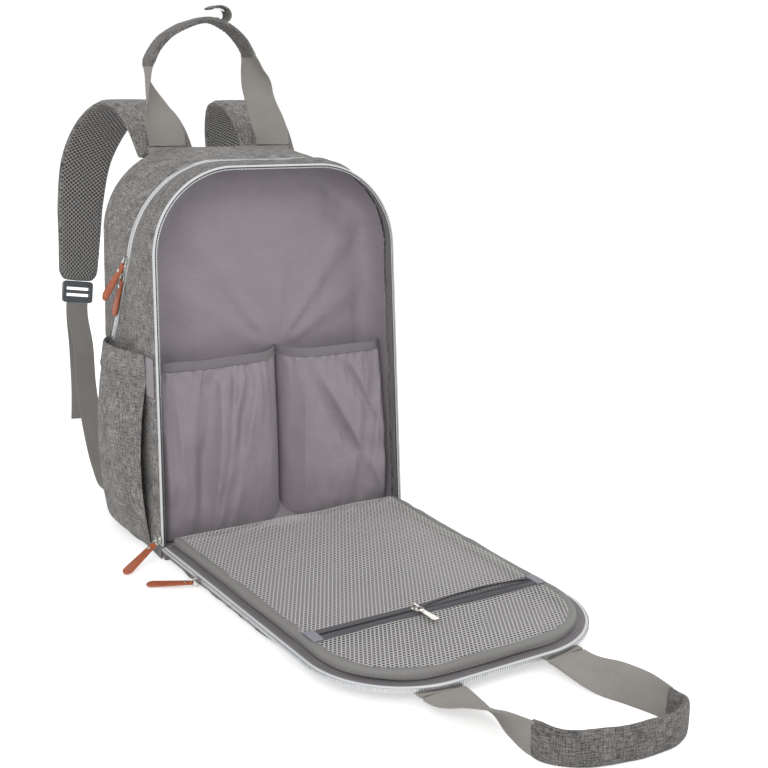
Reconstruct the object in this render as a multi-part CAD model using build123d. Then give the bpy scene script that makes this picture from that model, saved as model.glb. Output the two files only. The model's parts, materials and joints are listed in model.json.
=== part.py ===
from build123d import *
import math
import os

# Diaper backpack standing on its base with its front panel unzipped and laid open on the floor.
# Frame: millimetres, +Z up, +X to the bag's own left-to-right seen from the front, -Y out of the front.
# The origin is on the floor under the middle of the base.

# ---------------------------------------------------------------- body
BAG_WIDTH = 290.0          # across the sides at the base
SHOULDER_WIDTH = 274.0     # across the sides at the top, before the corners are rounded
BAG_DEPTH = 160.0          # base, front to back
FRONT_HEIGHT = 393.0       # floor to the top of the opening rim
REAR_HEIGHT = 404.0        # floor to the top of the back panel
CORNER_RADIUS = 90.0       # two top corners
LEAN = 3.5                 # degrees that the opening leans back
WALL = 3.0                 # padded outer fabric
BASE_BOARD_THICKNESS = 2.0
BASE_BOARD_MARGIN = 8.0
SEAM_GAP = 0.3             # between soft pieces that must not touch

# ---------------------------------------------------------------- front flap
FLAP_THICKNESS = 4.0
FRONT_POCKET_SPACE = 8.0   # between the flap panel and the front pocket panel
FRONT_POCKET_WALL = 3.0
FRONT_POCKET_LENGTH = 292.0
FRONT_POCKET_INSET = 9.0
FRONT_POCKET_RADIUS = 80.0
FLAP_START = 1.0           # cloth starts this far in front of the rim plane
BINDING_INSET = 11.0
BINDING_WIDTH = 9.0
MESH_DEPTH = 8.0           # room under the mesh
MESH_THICKNESS = 1.2
MESH_ZIP_REACH = 268.0     # hinge to the zip across the mesh
MESH_ZIP_WIDTH = 18.0
MESH_ZIP_MARGIN = 7.0      # binding to each end of the zip across the mesh
MESH_MOUTH_LEFT = -8.0     # the zip is open from here to its right end

# ---------------------------------------------------------------- zips
RIM_TAPE = 6.0             # zip tape showing on each side of the big opening
COIL = 2.6
TAPE = 1.2
MAIN_TAPE = 8.0
MAIN_ZIP_LOW = (58.0, 203.0)
MAIN_ZIP_BEND = (12.0, 290.0)
MAIN_ZIP_TOP = (-18.0, 412.0)
BACK_ZIP_GAP = 3.0         # back pad's widest place to the zip beside it
BACK_ZIP_LOW = 60.0
BACK_ZIP_HIGH = 300.0
SLIDER_LENGTH = 9.0
SLIDER_WIDTH = 6.6
SLIDER_PLATE = 1.0
RING_RADIUS = 4.0
RING_WIRE = 0.6
PULL_LENGTH = 46.0
PULL_WIDTH = 13.0
PULL_NECK_SHARE = 0.62
PULL_THICKNESS = 2.6
SMALL_PULL_LENGTH = 26.0
METAL_PULL_WIDTH = 7.0
METAL_PULL_THICKNESS = 1.6
POCKET_ZIP_WIDTH = 2.0

# ---------------------------------------------------------------- lining
DIVIDER_SETBACK = 48.0     # rim to the divider behind the lining pockets
DIVIDER_THICKNESS = 2.0
POCKET_DEPTH = 20.0
POCKET_HEIGHT = 196.0
POCKET_CLOTH = 1.5
POCKET_SEAM_X = 12.0
POCKET_SIDE_GAP = 1.0
ELASTIC_HEIGHT = 9.0
ELASTIC_THICKNESS = 2.0

# ---------------------------------------------------------------- side pockets
SIDE_POCKET_SETBACK = 20.0 # rim to the pocket's front edge
SIDE_POCKET_REAR = 68.0
SIDE_POCKET_TOP = 206.0
SIDE_POCKET_BOTTOM = 6.0
SIDE_POCKET_BULGE = 27.0
SIDE_POCKET_CLOTH = 2.5
SIDE_POCKET_FOOT = 7.0
SIDE_POCKET_MOUTH = 13.0
BAND_HEIGHT = 24.0
BAND_THICKNESS = 1.2

# ---------------------------------------------------------------- back and straps
BACK_PAD_THICKNESS = 10.0
BACK_PAD_MARGIN = 30.0
STRAP_WIDTH = 66.0
STRAP_END_WIDTH = 46.0
STRAP_THICKNESS = 9.0
WEB_WIDTH = 25.0
WEB_THICKNESS = 1.6
LOCK_WIDTH = 36.0
LOCK_LENGTH = 26.0
LOCK_THICKNESS = 6.0
LOCK_SLOT = 3.6
LOCK_BAR = 4.0
LOCK_END_RADIUS = 2.9      # rounding of the bar that the lock turns on
WEB_SPACING = 4.0          # between the two layers of webbing in the lock
ROOT_THICKNESS = 4.0       # strap pad where it is sewn to the bag
ANCHOR_HEIGHT = 17.0
YOKE_HALF_WIDTH = 100.0
YOKE_DROP = 12.0           # top of the back to the top of the yoke

# ---------------------------------------------------------------- carrying handles
HANDLE_WEB_WIDTH = 42.0
HANDLE_GRIP_WIDTH = 36.0
HANDLE_WEB_THICKNESS = 2.0
HANDLE_GRIP_THICKNESS = 6.0
HANDLE_SPREAD = 63.0       # middle of the bag to the middle of each web
HANDLE_ANCHOR = 28.0
HANDLE_GAP = 0.6
STRAIGHT_START = 5.0       # each webbing leg leaves its seam or lock straight
KEEPER_WIDTH = 20.0
KEEPER_THICKNESS = 1.6
KEEPER_GAP = 0.2           # over the grip it is sewn to
SNAP_RADIUS = 4.0
SNAP_HEIGHT = 1.5

# ---------------------------------------------------------------- worked out from the sizes above
HALF_BASE = BAG_WIDTH / 2
HALF_SHOULDER = SHOULDER_WIDTH / 2
HALF_DEPTH = BAG_DEPTH / 2
LEAN_SIN = math.sin(math.radians(LEAN))
LEAN_COS = math.cos(math.radians(LEAN))
RIM_LENGTH = FRONT_HEIGHT / LEAN_COS
TOP_DEPTH = BAG_DEPTH - RIM_LENGTH * LEAN_SIN
TOP_RISE = (REAR_HEIGHT - FRONT_HEIGHT) / TOP_DEPTH
FLAP_UNDERSIDE = FRONT_POCKET_WALL + FRONT_POCKET_SPACE
FLAP_TOP = FLAP_UNDERSIDE + FLAP_THICKNESS
HINGE_HEIGHT = FLAP_TOP + SEAM_GAP
HINGE_REACH = HINGE_HEIGHT / LEAN_COS
HINGE_Y = -HALF_DEPTH + HINGE_REACH * LEAN_SIN
FLAP_LENGTH = RIM_LENGTH - HINGE_REACH
MESH_TOP = FLAP_TOP + MESH_DEPTH + MESH_THICKNESS
BELOW_FLOOR = 40.0
WALL_CLOSING = (HALF_BASE - HALF_SHOULDER) / RIM_LENGTH
BACK_ZIP_X = max(HALF_BASE, HALF_SHOULDER) - BACK_PAD_MARGIN + BACK_ZIP_GAP + MAIN_TAPE / 2
RIM_PLANE = Plane(origin=(0, -HALF_DEPTH, 0), x_dir=(1, 0, 0), z_dir=(0, -LEAN_COS, LEAN_SIN))


def half_width(up):
    """Half the bag's width at a height along the sides."""
    return HALF_BASE - WALL_CLOSING * up


def arch_face(plane, inset, bottom, top=RIM_LENGTH, radius=CORNER_RADIUS):
    """Arch outline on a plane: sides that close in slightly, a flat top and two round corners."""
    up = top - inset
    outline = Polyline(
        (-half_width(bottom) + inset, bottom),
        (-half_width(up) + inset, up),
        (half_width(up) - inset, up),
        (half_width(bottom) - inset, bottom),
        close=True,
    )
    face = make_face(outline)
    face = fillet(face.vertices().sort_by(Axis.Y)[-2:], radius - inset)
    return plane * face


def body_slab(inset, start, end):
    """Arch-shaped block behind the rim plane, from one distance behind it to another."""
    drift = Vector(0, 1, TOP_RISE)
    face = arch_face(RIM_PLANE, inset, -BELOW_FLOOR).moved(Location(drift * start))
    return extrude(face, amount=(end - start) * drift.length, dir=drift)


def body_ring(outer, inner, start, end):
    """Arch-shaped band between two insets."""
    return body_slab(outer, start, end) - body_slab(inner, start - 1, end + 1)


def room(low, high):
    """Box between two corners."""
    size = [b - a for a, b in zip(low, high)]
    middle = [(a + b) / 2 for a, b in zip(low, high)]
    return Pos(*middle) * Box(*size)


def above(height, rear=HALF_DEPTH):
    """Everything over a height and in front of a rear plane."""
    far = 2 * BAG_WIDTH
    return room((-far, -far, height), (far, rear, far))


def behind_rim(distance):
    """Everything further behind the leaning rim plane than a distance."""
    far = 4 * BAG_WIDTH
    start = Plane(
        origin=(0, distance - HALF_DEPTH, 0), x_dir=(1, 0, 0), z_dir=(0, LEAN_COS, -LEAN_SIN)
    )
    return extrude(start * Rectangle(far, far), amount=far)


def flap_plane(height):
    """Plane of the open flap at a height, with its second axis running out from the hinge."""
    return Plane(origin=(0, HINGE_Y + HINGE_REACH, height), x_dir=(1, 0, 0), z_dir=(0, 0, -1))


def flap_slab(inset, low, high, start=FLAP_START, top=RIM_LENGTH, radius=CORNER_RADIUS):
    """Arch-shaped layer of the open flap between two heights."""
    face = arch_face(flap_plane(high), inset, HINGE_REACH + start, top, radius)
    return extrude(face, amount=high - low, dir=(0, 0, -1))


def flap_ring(outer, inner, low, high, start=FLAP_START, top=RIM_LENGTH, radius=CORNER_RADIUS):
    """Arch-shaped border of a flap layer, open at the hinge."""
    whole = flap_slab(outer, low, high, start, top, radius)
    return whole - flap_slab(inner, low - 1, high + 1, start - BELOW_FLOOR, top, radius)


def flap_point(x, reach, height):
    """Point on the open flap at a distance out from the hinge."""
    return (x, HINGE_Y - reach, height)


def ribbon_planes(points, across):
    """Section plane at each point of a band's route, square to the route."""
    route = [Vector(point) for point in points]
    last = len(route) - 1
    planes = []
    for index, (point, side) in enumerate(zip(route, across)):
        ahead = route[min(index + 1, last)] - route[max(index - 1, 0)]
        planes.append(Plane(origin=point, x_dir=side, z_dir=ahead))
    return planes


def ribbon(planes, widths, thicknesses):
    """Band lofted through rectangles on its section planes."""
    sizes = zip(planes, widths, thicknesses)
    return loft([plane * Rectangle(width, depth) for plane, width, depth in sizes], ruled=True)


def even_ribbon(points, across, width, thickness):
    """Band of one width and thickness along a route."""
    count = len(points)
    planes = ribbon_planes(points, [across] * count)
    return ribbon(planes, [width] * count, [thickness] * count)


def mirrored(shape):
    """The same shape on the other side of the bag."""
    return mirror(shape, about=Plane.YZ)


parts = {}

# ---------------------------------------------------------------- shell of the bag
# the main zip runs up each side and over the top
zip_line = [
    Line(MAIN_ZIP_LOW, MAIN_ZIP_BEND),
    TangentArc(
        MAIN_ZIP_BEND,
        MAIN_ZIP_TOP,
        tangent=(MAIN_ZIP_BEND[0] - MAIN_ZIP_LOW[0], MAIN_ZIP_BEND[1] - MAIN_ZIP_LOW[1]),
    ),
]
side_view = Plane(origin=(-BAG_WIDTH, 0, 0), x_dir=(0, 1, 0), z_dir=(1, 0, 0))
zip_strip = extrude(side_view * trace(zip_line, MAIN_TAPE), amount=2 * BAG_WIDTH, dir=(1, 0, 0))
rear_corner = (HALF_DEPTH + CORNER_RADIUS, MAIN_ZIP_TOP[1])
rear_edges = [
    Line(MAIN_ZIP_TOP, rear_corner),
    Line(rear_corner, (rear_corner[0], MAIN_ZIP_LOW[1])),
    Line((rear_corner[0], MAIN_ZIP_LOW[1]), MAIN_ZIP_LOW),
]
rear_side = extrude(
    side_view * make_face(zip_line + rear_edges), amount=2 * BAG_WIDTH, dir=(1, 0, 0)
)
shell = body_ring(0, WALL, RIM_TAPE, 2 * BAG_DEPTH) & above(0)
parts["main_gusset"] = shell - zip_strip - rear_side
parts["rear_gusset"] = (shell & rear_side) - zip_strip
tape_middle = WALL / 2
main_tape = body_ring(tape_middle - TAPE / 2, tape_middle + TAPE / 2, RIM_TAPE, 2 * BAG_DEPTH)
parts["main_zip"] = main_tape & zip_strip & above(0)
rim_tape = body_ring(tape_middle - TAPE / 2, tape_middle + TAPE / 2, SEAM_GAP / 2, RIM_TAPE)
rim_coil = body_ring(SEAM_GAP / 2, COIL, SEAM_GAP / 2, COIL)
parts["opening_zip"] = (rim_tape + rim_coil) & above(HINGE_HEIGHT)
parts["rim_binding"] = body_ring(WALL, WALL + TAPE, RIM_TAPE, 3 * RIM_TAPE) & above(HINGE_HEIGHT)

inside = body_slab(WALL, RIM_TAPE, 2 * BAG_DEPTH)
base = room((-BAG_WIDTH, -BAG_WIDTH, 0), (BAG_WIDTH, HALF_DEPTH - WALL, WALL))
parts["base_panel"] = body_slab(WALL, WALL, 2 * BAG_DEPTH) & base
sill = body_slab(0, 0, WALL) & room(
    (-BAG_WIDTH, -BAG_DEPTH, 0), (BAG_WIDTH, HALF_DEPTH, HINGE_HEIGHT - SEAM_GAP)
)
parts["front_sill"] = sill
board_half = HALF_BASE - WALL - BASE_BOARD_MARGIN
parts["base_board"] = room(
    (-board_half, DIVIDER_SETBACK - HALF_DEPTH + BASE_BOARD_MARGIN, WALL),
    (board_half, HALF_DEPTH - WALL - BASE_BOARD_MARGIN, WALL + BASE_BOARD_THICKNESS),
)
back_slice = room((-BAG_WIDTH, HALF_DEPTH - WALL, 0), (BAG_WIDTH, HALF_DEPTH, 2 * REAR_HEIGHT))
parts["back_panel"] = inside & back_slice
pad_slice = room(
    (-BAG_WIDTH, HALF_DEPTH, BACK_PAD_MARGIN),
    (BAG_WIDTH, HALF_DEPTH + BACK_PAD_THICKNESS, 2 * REAR_HEIGHT),
)
parts["back_pad"] = body_slab(BACK_PAD_MARGIN, BAG_DEPTH / 2, 2 * BAG_DEPTH) & pad_slice

# ---------------------------------------------------------------- front compartment lining
divider_end = DIVIDER_SETBACK + DIVIDER_THICKNESS
parts["divider_panel"] = body_slab(WALL, DIVIDER_SETBACK, divider_end) & above(WALL)


def lining_pocket(left, right):
    """Gathered pocket sewn to the divider: a front with two sides and a floor, open at the top."""
    front = DIVIDER_SETBACK - POCKET_DEPTH
    height = POCKET_HEIGHT
    outer = room((left, -BAG_DEPTH, WALL), (right, HALF_DEPTH, height))
    inner = room(
        (left + POCKET_CLOTH, -BAG_DEPTH, WALL + POCKET_CLOTH),
        (right - POCKET_CLOTH, HALF_DEPTH, height + BELOW_FLOOR),
    )
    bag = body_slab(WALL + POCKET_SIDE_GAP, front, DIVIDER_SETBACK) & outer
    return bag - (body_slab(WALL, front + POCKET_CLOTH, DIVIDER_SETBACK + 1) & inner)


pocket_edge = half_width(POCKET_HEIGHT) - WALL - POCKET_SIDE_GAP
parts["lining_pockets"] = Compound(
    children=[
        lining_pocket(-pocket_edge, POCKET_SEAM_X - SEAM_GAP),
        lining_pocket(POCKET_SEAM_X + SEAM_GAP, pocket_edge),
    ]
)
elastic_front = DIVIDER_SETBACK - POCKET_DEPTH - ELASTIC_THICKNESS
elastic_box = room(
    (-pocket_edge, -BAG_DEPTH, POCKET_HEIGHT - ELASTIC_HEIGHT),
    (pocket_edge, HALF_DEPTH, POCKET_HEIGHT),
)
parts["pocket_elastic"] = (
    body_slab(WALL + POCKET_SIDE_GAP, elastic_front, elastic_front + ELASTIC_THICKNESS) & elastic_box
)

# ---------------------------------------------------------------- side pockets


def side_pocket_face(grow):
    """Front view of a side pocket: narrow foot, full belly and a mouth that closes in."""
    wall_low = half_width(SIDE_POCKET_BOTTOM) + SEAM_GAP
    wall_top = half_width(SIDE_POCKET_TOP) + SEAM_GAP
    belly = HALF_BASE + SIDE_POCKET_BULGE + grow
    with BuildLine() as edge:
        foot = (-wall_low - SIDE_POCKET_FOOT - grow, SIDE_POCKET_BOTTOM)
        mouth = (-wall_top - SIDE_POCKET_MOUTH - grow, SIDE_POCKET_TOP)
        Line((-wall_top, SIDE_POCKET_TOP), (-wall_low, SIDE_POCKET_BOTTOM))
        Line((-wall_low, SIDE_POCKET_BOTTOM), foot)
        Spline(foot, (-belly, SIDE_POCKET_TOP / 2), mouth, tangents=[(-1, 0.8), (0.25, 1)])
        Line(mouth, (-wall_top, SIDE_POCKET_TOP))
    return Plane(origin=(0, SIDE_POCKET_REAR, 0), x_dir=(1, 0, 0), z_dir=(0, -1, 0)) * make_face(
        edge.edges()
    )


def side_pocket_block(grow, setback, rear, low, high):
    """Side pocket profile carried from a rear plane to the leaning plane behind the rim."""
    block = extrude(side_pocket_face(grow), amount=2 * BAG_DEPTH, dir=(0, -1, 0))
    return block & behind_rim(setback) & room((-BAG_WIDTH, -BAG_DEPTH, low), (0, rear, high))


pocket_solid = side_pocket_block(0, SIDE_POCKET_SETBACK, SIDE_POCKET_REAR, 0, SIDE_POCKET_TOP)
pocket_room = side_pocket_block(
    -SIDE_POCKET_CLOTH,
    SIDE_POCKET_SETBACK + SIDE_POCKET_CLOTH,
    SIDE_POCKET_REAR - SIDE_POCKET_CLOTH,
    SIDE_POCKET_BOTTOM + SIDE_POCKET_CLOTH,
    SIDE_POCKET_TOP,
)
band_solid = side_pocket_block(
    BAND_THICKNESS,
    SIDE_POCKET_SETBACK,
    SIDE_POCKET_REAR,
    SIDE_POCKET_TOP - BAND_HEIGHT,
    SIDE_POCKET_TOP,
)
side_pocket = pocket_solid - pocket_room
side_band = band_solid - pocket_solid
parts["side_pocket_left"] = side_pocket
parts["side_pocket_right"] = mirrored(side_pocket)
parts["side_pocket_bands"] = Compound(children=[side_band, mirrored(side_band)])

# ---------------------------------------------------------------- front flap, laid open
parts["flap_panel"] = flap_slab(RIM_TAPE, FLAP_UNDERSIDE, FLAP_TOP)
flap_middle = (FLAP_UNDERSIDE + FLAP_TOP) / 2
flap_tape = flap_ring(COIL / 2, RIM_TAPE, flap_middle - TAPE / 2, flap_middle + TAPE / 2)
flap_coil = flap_ring(0, COIL, flap_middle - TAPE / 2, FLAP_TOP)
parts["flap_zip"] = flap_tape + flap_coil
pocket_top = HINGE_REACH + FRONT_POCKET_LENGTH
pocket_shape = {"top": pocket_top, "radius": FRONT_POCKET_RADIUS}
parts["front_pocket_gusset"] = flap_ring(
    FRONT_POCKET_INSET,
    FRONT_POCKET_INSET + WALL,
    FRONT_POCKET_WALL + SEAM_GAP,
    FLAP_UNDERSIDE,
    **pocket_shape,
)
parts["front_pocket_panel"] = flap_slab(
    FRONT_POCKET_INSET + TAPE, 0, FRONT_POCKET_WALL, start=2 * FLAP_START, **pocket_shape
)
parts["front_pocket_zip"] = flap_ring(
    FRONT_POCKET_INSET - POCKET_ZIP_WIDTH,
    FRONT_POCKET_INSET,
    FRONT_POCKET_WALL / 2,
    FRONT_POCKET_WALL + COIL,
    **pocket_shape,
)
binding_inner = BINDING_INSET + BINDING_WIDTH
parts["mesh_binding"] = flap_ring(BINDING_INSET, binding_inner, FLAP_TOP, MESH_TOP)
mesh_low = MESH_TOP - MESH_THICKNESS
mesh_sheet = flap_slab(binding_inner, mesh_low, MESH_TOP, start=6 * FLAP_START)
zip_near = MESH_ZIP_REACH - MESH_ZIP_WIDTH / 2
zip_far = MESH_ZIP_REACH + MESH_ZIP_WIDTH / 2


def flap_room(left, right, near, far, low, high):
    """Box on the open flap between two distances out from the hinge."""
    return room((left, HINGE_Y - far, low), (right, HINGE_Y - near, high))


mesh_side = BAG_WIDTH
parts["mesh_upper"] = mesh_sheet & flap_room(-mesh_side, mesh_side, 0, zip_near, 0, BAG_WIDTH)
parts["mesh_lower"] = mesh_sheet & flap_room(
    -mesh_side, mesh_side, zip_far, 2 * FLAP_LENGTH, 0, BAG_WIDTH
)
zip_bar = mesh_sheet & flap_room(-mesh_side, mesh_side, zip_near, zip_far, 0, BAG_WIDTH)
slot_half = (MESH_ZIP_WIDTH - 2 * COIL) / 2
mesh_zip_half = half_width(HINGE_REACH + MESH_ZIP_REACH) - binding_inner - MESH_ZIP_MARGIN
mesh_slot = flap_room(
    MESH_MOUTH_LEFT,
    mesh_zip_half,
    MESH_ZIP_REACH - slot_half,
    MESH_ZIP_REACH + slot_half,
    0,
    BAG_WIDTH,
)
tab_box = Box(8 * TAPE, MESH_ZIP_WIDTH + 2 * TAPE, TAPE)
zip_tabs = [
    Pos(*flap_point(side * mesh_zip_half, MESH_ZIP_REACH, MESH_TOP + TAPE / 2)) * tab_box
    for side in (-1, 1)
]
parts["mesh_zip"] = Compound(children=[zip_bar - mesh_slot] + zip_tabs)
anchor_top = FLAP_UNDERSIDE
anchor_low = anchor_top - HANDLE_WEB_THICKNESS
parts["front_handle_anchors"] = Compound(
    children=[
        flap_room(
            side * HANDLE_SPREAD - HANDLE_WEB_WIDTH / 2,
            side * HANDLE_SPREAD + HANDLE_WEB_WIDTH / 2,
            FLAP_LENGTH - HANDLE_ANCHOR,
            FLAP_LENGTH + HANDLE_GAP,
            anchor_low,
            anchor_top,
        )
        for side in (-1, 1)
    ]
)

# ---------------------------------------------------------------- carrying handles
# each handle is flat webbing that turns on edge and is wrapped in cloth where the hand holds it
ACROSS_X = (1, 0, 0)
ACROSS_Y = (0, 1, 0)
ACROSS_Z = (0, 0, 1)
handle_y = HALF_DEPTH + HANDLE_WEB_THICKNESS / 2
REAR_HANDLE_HEIGHT = REAR_HEIGHT + HANDLE_GAP
# each leg: how far in or out from its foot, how far from the bag, degrees turned on edge
REAR_LEFT_LEG = [(0, 0, 0), (0, STRAIGHT_START, 0), (-12, 36, 5), (-19, 60, 30), (-20, 83, 90)]
REAR_RIGHT_LEG = [(0, 0, 0), (0, STRAIGHT_START, 0), (-13, 42, 5), (-21, 72, 40), (-28, 96, 90)]
REAR_ARCH = [(-67, 110), (-40, 126), (-10, 132), (18, 119)]
ON_EDGE = 90


def handle_route(left_leg, arch, right_leg):
    """Whole route of a handle, up one leg, along the arch and down the other."""
    left = [(x - HANDLE_SPREAD, out, turn) for x, out, turn in left_leg]
    right = [(x + HANDLE_SPREAD, out, turn) for x, out, turn in reversed(right_leg)]
    return left + [(x, out, ON_EDGE) for x, out in arch] + right


def handle_pieces(planes, leg_count):
    """Two webbing legs that narrow upward, and the wrapped grip between them."""
    step = (HANDLE_WEB_WIDTH - HANDLE_GRIP_WIDTH) / (leg_count - 1)
    widths = [HANDLE_WEB_WIDTH - step * index for index in range(leg_count)]
    thin = [HANDLE_WEB_THICKNESS] * leg_count
    legs = [
        ribbon(planes[:leg_count], widths, thin),
        ribbon(planes[-leg_count:], widths[::-1], thin),
    ]
    middle = planes[leg_count - 1 : 1 - leg_count]
    grip = ribbon(
        middle, [HANDLE_GRIP_WIDTH] * len(middle), [HANDLE_GRIP_THICKNESS] * len(middle)
    )
    return Compound(children=legs), grip


def edge_turn(turn, on_edge):
    """Direction across the webbing when it is turned from flat towards on edge."""
    angle = math.radians(turn)
    return Vector(*ACROSS_X) * math.cos(angle) + Vector(*on_edge) * math.sin(angle)


rear_route = handle_route(REAR_LEFT_LEG, REAR_ARCH, REAR_RIGHT_LEG)
rear_planes = ribbon_planes(
    [(x, handle_y, REAR_HANDLE_HEIGHT + up) for x, up, turn in rear_route],
    [edge_turn(turn, ACROSS_Y) for x, up, turn in rear_route],
)
parts["rear_handle_web"], parts["rear_handle_grip"] = handle_pieces(
    rear_planes, len(REAR_LEFT_LEG)
)
parts["rear_handle_anchors"] = Compound(
    children=[
        room(
            (side * HANDLE_SPREAD - HANDLE_WEB_WIDTH / 2, HALF_DEPTH, REAR_HEIGHT - HANDLE_ANCHOR),
            (
                side * HANDLE_SPREAD + HANDLE_WEB_WIDTH / 2,
                HALF_DEPTH + HANDLE_WEB_THICKNESS,
                REAR_HEIGHT,
            ),
        )
        for side in (-1, 1)
    ]
)

# the front handle lies on the floor beyond the flap, with its grip standing on edge
flat_height = (anchor_low + anchor_top) / 2
edge_height = SEAM_GAP + HANDLE_GRIP_WIDTH / 2
FRONT_LEFT_LEG = [(0, 0, 0), (0, STRAIGHT_START, 0), (6, 36, 10), (9, 66, 45), (11, 96, 90)]
FRONT_RIGHT_LEG = [(0, 0, 0), (0, STRAIGHT_START, 0), (1, 38, 15), (5, 74, 55), (8, 110, 90)]
FRONT_ARCH = [(-42, 118), (-16, 132), (20, 140), (50, 140), (69, 130)]


def front_spot(x, out, turn):
    """Point of the front handle, which rises as the webbing turns on edge."""
    height = flat_height + (edge_height - flat_height) * math.sin(math.radians(turn))
    return flap_point(x, FLAP_LENGTH + 2 * HANDLE_GAP + out, height)


front_route = handle_route(FRONT_LEFT_LEG, FRONT_ARCH, FRONT_RIGHT_LEG)
front_planes = ribbon_planes(
    [front_spot(*station) for station in front_route],
    [edge_turn(turn, ACROSS_Z) for x, out, turn in front_route],
)
parts["front_handle_web"], parts["front_handle_grip"] = handle_pieces(
    front_planes, len(FRONT_LEFT_LEG)
)

# keeper strip on the rear grip, sewn at the crown and curling back over it, its press snap open
crown, beyond = [Vector(x, handle_y, REAR_HANDLE_HEIGHT + up) for x, up in REAR_ARCH[2:4]]
keeper_plane = Plane(origin=crown, x_dir=beyond - crown, z_dir=(0, -1, 0))
keeper_height = HANDLE_GRIP_THICKNESS / 2 + KEEPER_GAP + KEEPER_THICKNESS / 2
KEEPER_CURL = [(6, 0), (12, 0), (17, 4), (17, 10), (11, 14), (2, 14), (-6, 10)]
keeper_route = [keeper_plane.from_local_coords((along, keeper_height + up)) for along, up in KEEPER_CURL]
parts["keeper_strip"] = even_ribbon(keeper_route, ACROSS_Y, KEEPER_WIDTH, KEEPER_THICKNESS)
snap_seat = Plane(
    origin=(keeper_route[4] + keeper_route[5]) / 2,
    x_dir=ACROSS_Y,
    z_dir=keeper_plane.y_dir,
)
snap_drop = (KEEPER_THICKNESS + SNAP_HEIGHT) / 2
parts["keeper_snap"] = snap_seat.location * Pos(0, 0, -snap_drop) * Cylinder(
    SNAP_RADIUS, SNAP_HEIGHT
)

# ---------------------------------------------------------------- shoulder straps
STRAP_ROUTE = [
    (-62, 85, 393.5),
    (-64, 112, 424),
    (-66, 148, 443),
    (-68, 186, 446),
    (-80, 226, 424),
    (-93, 258, 380),
    (-100, 266, 330),
    (-105, 262, 283),
    (-112, 253, 236),
]
# both layers of webbing start at the lock's free end
WEB_ROUTE = [
    (-117, 228, 160),
    (-120, 214, 115),
    (-123, 186, 70),
    (-126, 150, 34),
    (-128, 120, 20),
    (-128, 112, 20),
]
TAIL_ROUTE = [(-118, 240, 155), (-121, 229, 110), (-124, 226, 72)]


def strap_widths(count):
    """Pad width at each station: full to the middle, then narrowing to the end."""
    middle = count // 2
    drop = (STRAP_WIDTH - STRAP_END_WIDTH) / (count - 1 - middle)
    return [STRAP_WIDTH - drop * max(0, index - middle) for index in range(count)]


stations = len(STRAP_ROUTE)
strap_pad = ribbon(
    ribbon_planes(STRAP_ROUTE, [ACROSS_X] * stations),
    strap_widths(stations),
    [ROOT_THICKNESS] + [STRAP_THICKNESS] * (stations - 1),
)
end_point = Vector(*STRAP_ROUTE[-1])
end_way = (end_point - Vector(*STRAP_ROUTE[-2])).normalized()
lock_across = Vector(*ACROSS_X) - end_way * end_way.X
lock_plane = Plane(
    origin=end_point + end_way * (LOCK_LENGTH / 2 + SEAM_GAP),
    x_dir=lock_across,
    z_dir=end_way.cross(lock_across),
)
lock_box = Box(LOCK_WIDTH, LOCK_LENGTH, LOCK_THICKNESS)
lock_side = Plane.YZ * Rectangle(LOCK_LENGTH, LOCK_THICKNESS)
lock_side = fillet(lock_side.vertices().group_by(Axis.Y)[-1], LOCK_END_RADIUS)
lock_body = fillet(lock_box.edges().filter_by(Axis.Z), LOCK_BAR)
lock_body &= extrude(lock_side, amount=LOCK_WIDTH / 2, both=True)
for place in (-0.5, 0.5):
    lock_body -= Pos(0, place * (LOCK_SLOT + LOCK_BAR), 0) * Box(
        LOCK_WIDTH - 2 * LOCK_BAR, LOCK_SLOT, 2 * LOCK_THICKNESS
    )
ladder_lock = lock_plane.location * lock_body
lock_end = end_point + end_way * (LOCK_LENGTH + 2 * SEAM_GAP)


def webbing(route, shift):
    """Layer of webbing that leaves the lock's free end straight, then follows its route."""
    start = lock_end + lock_plane.z_dir * shift
    return even_ribbon(
        [start, start + end_way * STRAIGHT_START, *route], ACROSS_X, WEB_WIDTH, WEB_THICKNESS
    )


web = webbing(WEB_ROUTE, WEB_SPACING / 2)
tail = webbing(TAIL_ROUTE, -WEB_SPACING / 2)
web_end_x, web_end_y, web_end_z = WEB_ROUTE[-1]
web_anchor = extrude(
    Plane(origin=(web_end_x, HALF_DEPTH, web_end_z), x_dir=ACROSS_X, z_dir=(0, 1, 0))
    * Rectangle(WEB_WIDTH + 2 * TAPE, ANCHOR_HEIGHT),
    amount=web_end_y - HALF_DEPTH - HANDLE_GAP,
    taper=4,
)
strap_pieces = {
    "strap_pad": strap_pad,
    "ladder_lock": ladder_lock,
    "strap_web": Compound(children=[web, tail]),
}
for name, shape in strap_pieces.items():
    parts[f"{name}_left"] = shape
    parts[f"{name}_right"] = mirrored(shape)
parts["web_anchors"] = Compound(children=[web_anchor, mirrored(web_anchor)])
yoke_low = REAR_HEIGHT - HANDLE_ANCHOR
yoke_y = HALF_DEPTH + HANDLE_WEB_THICKNESS
parts["strap_yoke"] = room(
    (-YOKE_HALF_WIDTH, yoke_y, yoke_low),
    (YOKE_HALF_WIDTH, yoke_y + TAPE, REAR_HEIGHT - YOKE_DROP),
)

# ---------------------------------------------------------------- zip sliders and pulls
EYE_HALF_HEIGHT = 1.5
BAIL_WIDTH = 2.0
BAIL_BAR = 1.0
BAIL_HALF = 4.0
SLIDER_LIFT = 0.2
AXLE_HEIGHT = SLIDER_PLATE + EYE_HALF_HEIGHT


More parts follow.
